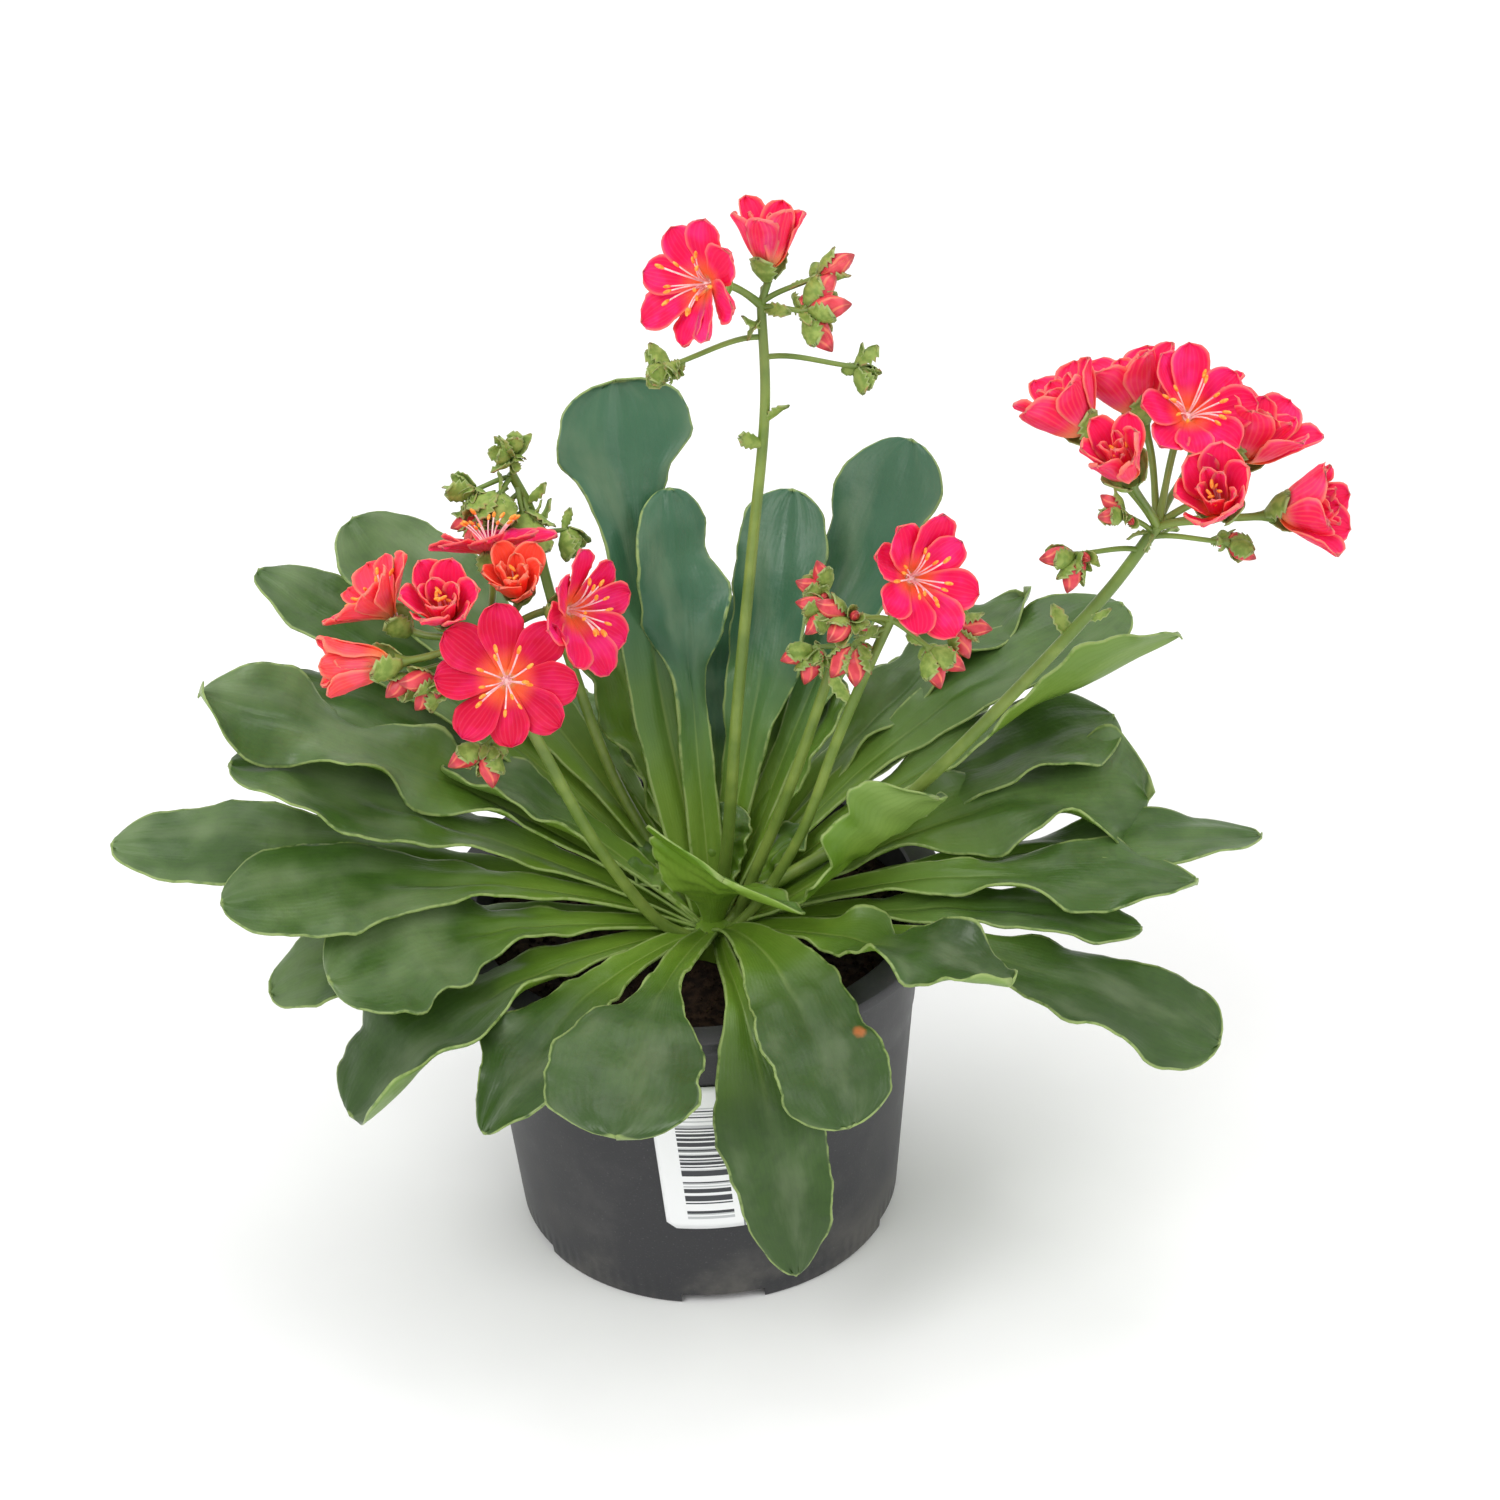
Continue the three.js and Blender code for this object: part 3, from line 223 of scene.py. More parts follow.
# Radii are at root and top; bracts are x, y, z, bearing, tilt and length; shoots are start, end, size and the
# bearing and tilt of each bud. On a spent stem the calyces are empty, but for a fresh shoot. Blooms is how
# the names of the stem's flowers start.
STEMS = {
    "stem_tall": dict(
        route=((5, -6, 84), (8, -7, 105), (12, -8, 145), (17, -8, 187), (21, -8, 222), (21, -8, 246)),
        radii=(1.65, 1.05),
        bracts=((20, -8, 212, 190, 20, 7), (21, -8, 218, 10, 60, 6), (21, -8, 240, 190, 10, 5),
            (21, -8, 245, -60, 20, 6), (21, -8, 244, 60, 0, 6), (21, -8, 243, 200, -20, 5)),
        shoots=(
            ((20, -8, 238), (0, -12, 234), 0.75, ((200, -30), (150, 10), (250, -10))),
            ((21, -8, 233), (42, -3, 227), 0.75, ((-20, -50), (30, 0))),
            ((21, -8, 245), (30, -11, 245), 1.2, ((-10, 10), (30, 35), (-30, -50))),
            ((21, -8, 246), (33, -5, 250), 1.1, ((10, 25), (-60, -60))),
        ),
        blooms="bloom_top",
    ),
    "stem_right": dict(
        route=((6, -9, 84), (16, -9, 94), (42, -10, 111), (57, -12, 127), (72, -14, 145), (96, -17, 176),
            (106, -18, 192)),
        radii=(1.7, 1.35),
        bracts=((87, -16, 163, 160, 72, 7), (90, -17, 168, -30, 10, 5.5), (106, -18, 190, 60, 10, 6),
            (105, -18, 190, -80, -10, 6), (105, -18, 191, 170, 10, 5)),
        shoots=(
            ((102, -18, 186), (88, -20, 187), 1, ((190, 0), (230, -60))),
            ((105, -18, 190), (98, -25, 199), 0.8, ((150, 30), (200, 10))),
            ((104, -18, 189), (121, -20, 188), 0.9, ((-10, -30), (40, -20))),
        ),
        blooms="bloom_right",
    ),
    "stem_middle": dict(
        route=((6, -13, 84), (14, -15, 94), (25, -19, 116), (34, -24, 145), (42, -28, 168), (46, -29, 178)),
        radii=(1.35, 1.1),
        bracts=((37, -26, 155, 200, 50, 7), (45, -29, 174, 150, 20, 6)),
        shoots=(
            ((45, -29, 176), (38, -31, 174), 1.1, ((200, -50), (260, -60))),
            ((46, -29, 178), (54, -33, 173), 1.1, ((-60, -60), (-20, -30))),
            ((46, -29, 178), (60, -28, 176), 1, ((-10, -10), (-40, -60))),
            ((45, -29, 177), (33, -26, 180), 0.9, ((170, 10), (210, -30))),
            ((46, -29, 178), (37, -34, 182), 1, ((230, -10), (180, 30))),
        ),
        blooms="bloom_middle",
    ),
    "stem_middle_back": dict(
        route=((9, -9, 85), (14, -11, 100), (22, -13, 122), (31, -17, 152), (35, -18, 166)),
        radii=(1.5, 1.15),
        bracts=((33, -18, 160, 170, 40, 7),),
        shoots=(
            ((35, -18, 165), (30, -22, 168), 1, ((180, -20), (220, -60))),
            ((35, -18, 166), (33, -16, 178), 0.9, ((120, 60), (180, 30))),
        ),
        blooms=(),
    ),
    "stem_left": dict(
        route=((-1, -13, 84), (-9, -16, 92), (-22, -20, 117), (-33, -22, 146), (-41, -21, 166),
            (-43, -19, 172)),
        radii=(1.5, 1.2),
        bracts=((-35, -22, 149, 20, 30, 8), (-42, -20, 168, 100, 20, 6)),
        shoots=(
            ((-41, -21, 165), (-54, -24, 166), 1.1, ((200, 10), (180, -50))),
            ((-42, -20, 169), (-60, -20, 166), 1, ((220, -20), (170, -60))),
            ((-37, -22, 155), (-45, -27, 150), 1.1, ((200, -20), (280, -60))),
        ),
        blooms="bloom_left",
    ),
    "stem_nodding": dict(
        route=((0, -4, 85), (-8, 3, 97), (-18, 11, 116), (-26, 19, 142), (-31, 25, 164), (-33, 28, 178),
            (-37, 28, 189)),
        radii=(1.5, 1.1), spent=True,
        bracts=((-33, 27, 174, 20, 20, 7), (-32, 26, 166, 200, 40, 7), (-40, 23, 186, 250, -80, 8),
            (-42, 25, 179, 200, -80, 8), (-33, 23, 178, 300, -80, 7), (-35, 24, 180, 330, -85, 7),
            (-34, 28, 181, 10, 20, 6)),
        shoots=(
            ((-35, 28, 184), (-42, 25, 179), 1, ((200, -70), (120, -80))),
            ((-37, 28, 188), (-46, 26, 186), 0.9, ((190, -30), (170, 10))),
            ((-38, 27, 186), (-45, 25, 180), 0.85, ((220, -50), (190, -20)), "fresh"),
            ((-35, 28, 183), (-33, 23, 178), 1, ((-60, -70), (240, -70))),
            ((-37, 28, 188), (-36, 27, 194), 0.78, ((60, 75), (200, 20))),
            ((-37, 28, 188), (-40, 23, 186), 1, ((250, -60), (300, -70), (200, -50))),
            ((-36, 28, 186), (-35, 24, 180), 1, ((250, -70), (330, -60))),
            ((-32, 27, 173), (-25, 27, 174), 0.9, ((-30, -60),)),
        ),
        blooms=(),
    ),
}


def heading(bearing, tilt):
    """Unit vector from a bearing, from +X towards +Y, and a tilt above the horizontal."""
    b, e = math.radians(bearing), math.radians(tilt)
    return np.array((math.cos(b) * math.cos(e), math.sin(b) * math.cos(e), math.sin(e)))


def smooth(x, low, high):
    """An eased step from 0 at low to 1 at high."""
    t = np.clip((x - low) / (high - low), 0, 1)
    return t * t * (3 - 2 * t)


def wander(x, seed, octaves=3):
    """A smooth wandering value between about -1 and 1 along x, one turn or so per unit."""
    draw = np.random.default_rng(seed)
    total = 0
    for k in range(octaves):
        total = total + 0.55 ** k * np.sin(2 * np.pi * (x * 2 ** k * draw.uniform(0.8, 1.2) + draw.uniform()))
    return total / 1.6


def spread(curve, shares):
    """Points and directions at equal shares of the length of a cubic with four control points."""
    a, b, c, d = (np.asarray(point, float) for point in curve)

    def place(t):
        return (1 - t) ** 3 * a + 3 * (1 - t) ** 2 * t * b + 3 * (1 - t) * t * t * c + t ** 3 * d

    t = np.linspace(0, 1, 241)[:, None]
    length = np.concatenate(([0], np.cumsum(np.linalg.norm(np.diff(place(t), axis=0), axis=1))))
    at = np.interp(np.asarray(shares) * length[-1], length, t[:, 0])[:, None]
    ways = 3 * (1 - at) ** 2 * (b - a) + 6 * (1 - at) * at * (c - b) + 3 * at * at * (d - c)
    return place(at), ways / np.linalg.norm(ways, axis=1)[:, None]


def crown_point(bearing, lift, sunk):
    """Where a leaf leaves the crown, sunk into its dome."""
    out = (CROWN["reach"] - sunk) * math.cos(math.radians(lift))
    up = (CROWN["depth"] - sunk) * math.sin(math.radians(lift))
    return np.array(CROWN["at"]) + heading(bearing, 0) * out + np.array((0, 0, up))


def half_width(leaf, s):
    """Half the width of a leaf at shares of its length, before its own edges."""
    neck = leaf["neck"] * (0.75 + 0.25 * smooth(s, 0, 0.2))
    grown = neck + (leaf["head"] - neck) * smooth(s, leaf["flare"], leaf["peak"]) ** 1.25
    past = np.maximum(0, (s - leaf["peak"]) / (1 - leaf["peak"]))
    return 0.5 * grown * np.maximum(0, 1 - past ** (2.4 - 1.1 * leaf["tip"])) ** (0.5 + 0.2 * leaf["tip"])


def own_edges(leaf, s):
    """Factors of the half width on the left and right, eased between the leaf's listed stations."""
    stations = [(0.0, 1, 1), *leaf["edges"], (1.0, 1, 1)]
    at = [row[0] for row in stations]
    ease = np.interp(s, at, range(len(at)))
    ease = np.floor(ease) + smooth(ease % 1, 0, 1)
    return [np.interp(ease, range(len(at)), [row[k] for row in stations]) for k in (1, 2)]


def rotated(vector, axis, angle):
    """A vector turned about a unit axis (Rodrigues)."""
    c, s = math.cos(angle), math.sin(angle)
    return vector * c + np.cross(axis, vector) * s + axis * np.dot(axis, vector) * (1 - c)


def leaf_grid(name, spec, rows, columns):
    """Middle surface of a leaf: points[row, column], with u across and s along it."""
    leaf = {**LEAF, **spec}
    seed = sum(map(ord, name))
    out, side = heading(leaf["bearing"], 0), heading(leaf["bearing"] + 90, 0)
    start = crown_point(leaf["bearing"], leaf["lift"], leaf["sunk"])
    tip = np.array(CROWN["at"]) + out * leaf["reach"] + np.array((0, 0, leaf["rise"]))
    span = np.linalg.norm(tip - start)
    sway = side * leaf["sway"]
    curve = (
        start,
        start + heading(leaf["bearing"], leaf["lift"]) * span * leaf["spring"] + sway,
        tip - heading(leaf["bearing"], leaf["fall"]) * span * leaf["hang"] + sway,
        tip,
    )
    s = 1 - (1 - np.linspace(0, 1, rows)) ** 1.25
    even = np.linspace(-1, 1, columns)
    u = np.sin(even * math.pi / 2) * 0.35 + even * 0.65
    middle, ways = spread(curve, s)
    width = half_width(leaf, s)
    lefts, rights = own_edges(leaf, s)
    grid = np.zeros((rows, columns, 3))
    for i in range(rows):
        turn = math.radians(leaf["turn"]) * smooth(s[i], 0.3, 1)
        level = np.cross(ways[i], side)
        level /= np.linalg.norm(level)
        across, normal = rotated(side, ways[i], turn), rotated(level, ways[i], turn)
        dimple = 0.8 * smooth(s[i], 0.35, 0.6) * wander(s[i] * 3.3, seed + 21, 2)
        for j in range(columns):
            far = abs(u[j])
            # each side has its own curl and width, and waves of its own
            curl, own, lean, late = (
                (leaf["right"], rights[i], 7, 0.4) if u[j] < 0 else (leaf["left"], lefts[i], 0, 0))
            rolled = leaf["channel"] * (1 - smooth(s[i], 0, 0.55)) + curl * smooth(s[i], 0.2, 0.7)
            bend = rolled * far + 1e-6
            margin = wander(s[i] * 6, seed + lean, 3)
            reach = width[i] * own * (1 + leaf["notch"] * margin * smooth(s[i], 0.1, 0.5) * far ** 3)
            # ruffles, then crimps at the margin, hollows in the middle, faint creases and the sunk midrib
            beat = math.sin(2 * math.pi * (leaf["waves"] * s[i] + leaf["phase"] + late))
            wave = leaf["crimp"] * leaf["ruffle"] * smooth(s[i], 0.25, 0.6) * u[j] ** 2 * beat
            crimp = wander(s[i] * 5, seed + 3 + lean, 2)
            wave += 0.6 * leaf["crimp"] * far ** 4 * smooth(s[i], 0.15, 0.5) * crimp
            wave += dimple * (1 - u[j] ** 2)
            crease = math.sin(9 * u[j] + 3 * wander(s[i] * 2, seed + 31, 1))
            wave += 0.35 * crease * smooth(s[i], 0.3, 0.6) * (1 - far)
            rib = -0.6 * math.exp(-(u[j] * width[i] / 1.6) ** 2) * smooth(s[i], 0.05, 0.3)
            rib *= 1 - smooth(s[i], 0.6, 1)
            arc = reach * far / bend
            grid[i, j] = (middle[i] + across * math.copysign(1, u[j]) * arc * math.sin(bend)
                          + normal * (arc * (1 - math.cos(bend)) + wave + rib))
    return grid, s, u, width * 0.5 * (lefts + rights)


def blade_from_grid(grid, s, u, width, thick, tone):
    """A closed leaf: the grid thickened along its own normals, thinner at its margins."""
    rows, columns = grid.shape[:2]
    normal = np.cross(np.gradient(grid, axis=0), np.gradient(grid, axis=1))
    normal = normal / np.maximum(np.linalg.norm(normal, axis=2, keepdims=True), 1e-9)
    normal[-1] = normal[-2]
    half = thick / 2 * (1 - 0.5 * np.abs(u) ** 3)[None, :, None] * (1 - 0.35 * s ** 4)[:, None, None]
    points = np.concatenate((grid + normal * half, grid - normal * half)).reshape(-1, 3)
    below = rows * columns
    faces = []
    for i in range(rows - 1):
        for j in range(columns - 1):
            a, b = i * columns + j, (i + 1) * columns + j
            faces += [(a, b, b + 1, a + 1), (a + below, a + 1 + below, b + 1 + below, b + below)]
        for p, q in ((i * columns, (i + 1) * columns), ((i + 2) * columns - 1, (i + 1) * columns - 1)):
            faces.append((p, p + below, q + below, q))
    for j in range(columns - 1):
        last = (rows - 1) * columns + j
        faces += [(j + 1, j + 1 + below, j + below, j), (last, last + below, last + 1 + below, last + 1)]
    uv = np.stack(np.broadcast_arrays((u / 2 + 0.5)[None, :], s[:, None]), -1).reshape(-1, 2)
    # distance to the side, or to the tip where that is nearer, for a leaf of about 90 mm
    edge = np.minimum((1 - np.abs(u))[None, :] * width[:, None], ((1 - s) * 90)[:, None]).reshape(-1)
    return dict(points=points, faces=faces, uv=np.tile(uv, (2, 1)), edge=np.tile(edge, 2),
                under=np.repeat((0.0, 1.0), below), tone=np.full(2 * below, tone))


def together(parts):
    """Several pieces' arrays as one."""
    shift, faces = 0, []
    for part in parts:
        faces += [tuple(v + shift for v in face) for face in part["faces"]]
        shift += len(part["points"])
    joined = {key: np.concatenate([part[key] for part in parts]) for key in parts[0] if key != "faces"}
    return dict(joined, faces=faces)


def mark(mesh, name, values, kind="FLOAT"):
    """Gives every point of a mesh its own value or vector."""
    field = "value" if kind == "FLOAT" else "vector"
    mesh.attributes.new(name, kind, "POINT").data.foreach_set(field, values)


def mesh_piece(name, part, finish):
    """A smooth mesh object in metres from arrays in millimetres; merged, closed and facing outwards."""
    mesh = bpy.data.meshes.new(name)
    mesh.from_pydata([tuple(p) for p in np.asarray(part["points"]) * MM], [], part["faces"])
    for key, label in (("edge", "edge_mm"), ("under", "underside"), ("tone", "tone")):
        if key in part:
            mark(mesh, label, part[key])
    if "uv" in part:
        layer = mesh.uv_layers.new(name="across_along")
        corners = np.zeros(len(mesh.loops), int)
        mesh.loops.foreach_get("vertex_index", corners)
        layer.data.foreach_set("uv", np.asarray(part["uv"])[corners].ravel())
    mesh.materials.append(finish)
    faired = bmesh.new()
    faired.from_mesh(mesh)
    bmesh.ops.remove_doubles(faired, verts=faired.verts, dist=2e-6)
    bmesh.ops.dissolve_degenerate(faired, dist=1e-6, edges=faired.edges)
    bmesh.ops.recalc_face_normals(faired, faces=faired.faces)
    faired.to_mesh(mesh)
    faired.free()
    return smooth_all(linked(name, mesh))


def belongs(piece, slot, *nodes):
    """Fixes a finished piece to the plant in place of its plain solids."""
    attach(piece, "root")
    if nodes:
        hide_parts(*nodes)
    return piece


def shaped(piece):
    """A new mesh that is the piece with its modifiers applied."""
    depsgraph = bpy.context.evaluated_depsgraph_get()
    return bpy.data.meshes.new_from_object(piece.evaluated_get(depsgraph), depsgraph=depsgraph)


def modelled(name, source, tree, values):
    """The plain mesh that a node tree makes of an object. values are the tree's named inputs."""
    modifier = source.modifiers.new("nodes", "NODES")
    modifier.node_group = tree
    for item in tree.interface.items_tree:
        if item.item_type == "SOCKET" and item.in_out == "INPUT" and item.name in values:
            modifier[item.identifier] = values[item.name]
    source.update_tag()
    bpy.context.view_layer.update()
    mesh = shaped(source)
    source.modifiers.remove(modifier)
    mesh.name = name
    return linked(name, mesh)


def discard(piece):
    """Removes a helper object and its data."""
    data = piece.data
    bpy.data.objects.remove(piece)
    (bpy.data.curves if isinstance(data, bpy.types.Curve) else bpy.data.meshes).remove(data)


def new_tree(name, *inputs):
    """A geometry tree with one geometry in and out and named inputs: name, kind of socket and any default."""
    tree = bpy.data.node_groups.new(name, "GeometryNodeTree")
    tree.interface.new_socket("Geometry", in_out="INPUT", socket_type="NodeSocketGeometry")
    for label, kind, *default in inputs:
        socket = tree.interface.new_socket(label, in_out="INPUT", socket_type="NodeSocket" + kind)
        if default:
            socket.default_value = default[0]
    tree.interface.new_socket("Geometry", in_out="OUTPUT", socket_type="NodeSocketGeometry")
    return tree, tree.nodes.new("NodeGroupInput"), tree.nodes.new("NodeGroupOutput")


COORD, UVS, ATTRIBUTE = "ShaderNodeTexCoord", "ShaderNodeUVMap", "ShaderNodeAttribute"
NOISE, WAVE, RANGE = "ShaderNodeTexNoise", "ShaderNodeTexWave", "ShaderNodeMapRange"
MATH, MIX, SPLIT, JOIN = "ShaderNodeMath", "ShaderNodeMix", "ShaderNodeSeparateXYZ", "ShaderNodeCombineXYZ"


def new_finish(name, surface):
    """A new material with constant shader inputs; the tree, the shader and the place on the plant."""
    material = bpy.data.materials.new(name)
    material.use_nodes = True
    tree = material.node_tree
    shader = tree.nodes["Principled BSDF"]
    for socket, value in surface.items():
        shader.inputs[socket].default_value = value
    return material, tree, shader, add(tree, COORD).outputs["Object"]


def painted(tree, ground, *coats):
    """Coats over a ground colour: each has its most cover, its colour and the ranges that mask it, which are
    (value, where none shows, where it shows in full)."""
    for cover, colour, *ranges in coats:
        for value, none, full in ranges:
            cover = add(tree, RANGE, {0: value, 1: none, 2: full, 4: cover}, interpolation_type="SMOOTHSTEP")
        colour = hex_colour(colour) if isinstance(colour, str) else (*colour, 1.0)
        ground = add(tree, MIX, {0: cover, 6: ground, 7: colour}, data_type="RGBA")
    return ground


def skinned(tree, shader, ground, *coats):
    """Gives the shader a ground colour with coats over it as its base colour."""
    tree.links.new(painted(tree, ground, *coats).outputs[2], shader.inputs["Base Color"])


def relief(tree, shader, strength, depth, *heights):
    """A bump from the sum of (value, share) heights."""
    total = 0.0
    for value, share in heights:
        total = add(tree, MATH, {0: value, 1: share, 2: total}, operation="MULTIPLY_ADD")
    bump = add(tree, "ShaderNodeBump", {"Strength": strength, "Distance": depth, "Height": total})
    tree.links.new(bump.outputs[0], shader.inputs["Normal"])


def own_map(tree, x=1.0, y=1.0):
    """The blade's own map and marks: stretched place, share across, share along, tone, distance to edge and
    underside."""
    parts = add(tree, SPLIT, {0: add(tree, UVS, uv_map="across_along")})
    marks = [add(tree, ATTRIBUTE, attribute_name=name).outputs["Fac"]
             for name in ("tone", "edge_mm", "underside")]
    wide = [add(tree, MATH, {0: value, 1: scale}, operation="MULTIPLY")
            for value, scale in ((parts.outputs[0], x), (parts.outputs[1], y), (marks[0], 40.0))]
    return add(tree, JOIN, dict(enumerate(wide))), parts.outputs[0], parts.outputs[1], *marks


def leaf_flesh(look):
    """Living leaf, thick and fleshy with a waxy cuticle: satin with grey patches of painted sheen, deep olive
    heads on bright petioles, a faint pale midrib and a thin horny rim, with painted shade on the front leaves
    and painted light on the undersides near the root."""
    material, tree, shader, place = new_finish("fleshy_leaf_waxy_cuticle", {
        "Roughness": 0.42, "Specular IOR Level": 0.36})
    stretched, u, s, tone, edge, under = own_map(tree, 3.0, 5.0)
    broad = add(tree, NOISE, {"Vector": place, "Scale": 1 / (22 * MM), "Detail": 2.0})
    mottle = add(tree, NOISE, {"Vector": place, "Scale": 1 / (2.6 * MM), "Detail": 3.0})
    streaks_and_sheen = add(tree, NOISE, {"Vector": stretched, "Scale": 0.8, "Detail": 4.0})
    veins = add(tree, WAVE, {
        "Vector": stretched, "Scale": 2.2, "Distortion": 5.0, "Detail": 2.0, "Detail Scale": 0.6,
    }, bands_direction="X")
    shade = add(tree, MATH, {0: broad, 1: 0.3, 2: s}, operation="MULTIPLY_ADD")
    middle = add(tree, MATH, {0: add(tree, MATH, {0: u, 1: 0.5}, operation="SUBTRACT")}, operation="ABSOLUTE")
    upper = painted(
        tree, hex_colour("#3C5A22"),
        (1.0, "#496C28", (broad, 0.35, 0.7)),
        (0.28, "#2B431D", (mottle, 0.45, 0.7)),
        (0.12, "#2C451F", (veins, 0.6, 1.0), (s, 0.3, 0.6)),
        # painted shade: leaves of tone near 0, at the front, are darkened
        (0.5, "#233816", (tone, 0.12, 0.02)),
        # painted sheen: a grey coat on the left and right leaves, of tone 0.46 to 0.5
        (0.28, "#8E9C78", (tone, 0.46, 0.5), (broad, 0.36, 0.64)),
        (0.92, "#37624A", (tone, 0.55, 0.9)),
        # painted sheen: grey patches along the streaks on the leaf heads
        (0.22, "#8B9878", (streaks_and_sheen, 0.46, 0.7), (s, 0.4, 0.75)),
        (0.96, look.petiole, (shade, 0.84, 0.36)),
        (0.3, "#8DAA3F", (streaks_and_sheen, 0.4, 0.65), (s, 0.55, 0.1)),
        (0.35, "#A3B768", (middle, 0.05, 0.0), (s, 0.7, 0.25)),
    )
    lower = painted(
        tree, hex_colour("#5E831F"),
        (0.7, "#7C9B37", (streaks_and_sheen, 0.35, 0.65)),
        (0.4, "#8CA366", (s, 0.6, 0.98)),
        # painted light: paler undersides near the root, where the crown shades them
        (0.6, "#86A83A", (s, 0.35, 0.0)),
        (0.15, "#54781C", (veins, 0.5, 1.0)),
    )
    flesh = add(tree, MIX, {0: under, 6: upper, 7: lower}, data_type="RGBA")
    skinned(
        tree, shader, flesh,
        (0.8, look.rim, (edge, 0.6, 0.2), (mottle, 0.25, 0.55)),
        (0.9, "#A9602A", (add(tree, ATTRIBUTE, attribute_name="blemish").outputs["Fac"], 0.3, 0.7)),
    )
    rough = add(tree, RANGE, {0: streaks_and_sheen, 1: 0.3, 2: 0.75, 3: 0.3, 4: 0.52})
    tree.links.new(rough.outputs[0], shader.inputs["Roughness"])
    relief(tree, shader, 0.6, 0.9 * MM, (broad, 1.6), (streaks_and_sheen, 0.8), (mottle, 0.3), (veins, 0.025))
    return material


def petal_silk(look):
    """Living petal, thin and silky: hot pink with a glowing orange throat, fine radiating veins and a coral
    margin, paler and more orange outside. Cups and orange flowers get a lighter pink, painted light against
    the shade inside a cup."""
    material, tree, shader, place = new_finish("silky_petal_tissue", {
        "Roughness": 0.5, "Specular IOR Level": 0.14, "Sheen Weight": 0.02, "Sheen Roughness": 0.4,
        "Subsurface Weight": 0.3, "Subsurface Scale": 2 * MM})
    _, u, s, tone, edge, under = own_map(tree)
    cloud = add(tree, NOISE, {"Vector": place, "Scale": 1 / (5 * MM), "Detail": 2.0})
    lines = add(tree, MATH, {0: add(tree, MATH, {0: u, 1: 58.0}, operation="MULTIPLY")}, operation="SINE")
    inner = painted(
        tree, (*look.petal, 1.0),
        (1.0, "#E81252", (tone, -0.6, 0.1)),
        (0.7, "#F62C80", (cloud, 0.4, 0.7), (tone, -0.9, 0.1)),
        # painted light: a lighter pink on cups and orange flowers, of tone 0.2 and more, against the shade
        # inside a cup
        (0.6, "#FF2A66", (tone, 0.2, 1.0)),
        (0.85, "#FF5A34", (tone, 1.2, 2.0)),
        (0.09, "#FF6F8F", (lines, 0.3, 1.0), (s, 0.2, 0.6)),
        (0.9, "#FF7038", (s, 0.48, 0.12)),
        (0.9, "#FFC98A", (s, 0.14, 0.0)),
    )
    outer = painted(
        tree, hex_colour("#F42454"),
        (0.5, "#FF5490", (cloud, 0.4, 0.7)),
        (0.8, "#FF6840", (tone, 1.2, 2.0)),
        (0.14, "#FF8E74", (lines, 0.0, 1.0)),
        (0.8, "#FF9A62", (s, 0.45, 0.1)),
    )
    skin = add(tree, MIX, {0: under, 6: inner, 7: outer}, data_type="RGBA")
    skinned(tree, shader, skin, (0.65, "#FF9478", (edge, 0.9, 0.0), (tone, -0.7, 0.5), (s, 0.1, 0.4)))
    relief(tree, shader, 0.2, 0.25 * MM, (lines, 0.3), (cloud, 1.5))
    return material


def clouded(name, ground, cloud, size, cover, surface, bump=0.2):
    """A finish of one colour clouded with another, over a relief of the same size in millimetres."""
    material, tree, shader, place = new_finish(name, surface)
    clouds = add(tree, NOISE, {"Vector": place, "Scale": 1 / (size * MM), "Detail": 4.0})
    skinned(tree, shader, hex_colour(ground), (cover, cloud, (clouds, 0.35, 0.68)))
    relief(tree, shader, bump, 0.2 * size * MM, (clouds, 1.0))
    return material


def sepal_green():
    """Living sepal: thin matt green, flushed red-brown at its toothed rim and tip."""
    material, tree, shader, place = new_finish("toothed_sepal_matt", {
        "Roughness": 0.55, "Specular IOR Level": 0.3})
    *_, edge, _ = own_map(tree)
    cloud = add(tree, NOISE, {"Vector": place, "Scale": 1 / (1.8 * MM), "Detail": 3.0})
    skinned(
        tree, shader, hex_colour("#718B3A"),
        (0.8, "#98AC56", (cloud, 0.35, 0.65)),
        (0.5, "#B3BF86", (edge, 0.7, 0.1)),
        (0.7, "#9A5A3A", (edge, 0.8, 0.0), (cloud, 0.5, 0.7)),
    )
    relief(tree, shader, 0.4, 0.4 * MM, (cloud, 1.0))
    return material


def bud_coral():
    """Furled petals of a bud: satin coral red, paler along the outer folds and dusky at the tip."""
    material, tree, shader, place = new_finish("furled_petal_coral", {
        "Roughness": 0.4, "Specular IOR Level": 0.45})
    _, u, s, *_ = own_map(tree)
    cloud = add(tree, NOISE, {"Vector": place, "Scale": 1 / (3 * MM), "Detail": 3.0})
    furl = add(tree, MATH, {0: u, 1: 31.4, 2: add(tree, MATH, {0: s, 1: 5.0}, operation="MULTIPLY")},
               operation="MULTIPLY_ADD")
    fold = add(tree, MATH, {0: furl}, operation="SINE")
    skinned(
        tree, shader, hex_colour("#C62F3C"),
        (0.7, "#E5525C", (cloud, 0.35, 0.65)),
        (0.6, "#F08A62", (fold, 0.55, 1.0)),
        (0.6, "#7E2226", (s, 0.86, 0.98)),
    )
    relief(tree, shader, 0.3, 0.3 * MM, (cloud, 1.0), (fold, 0.4))
    return material


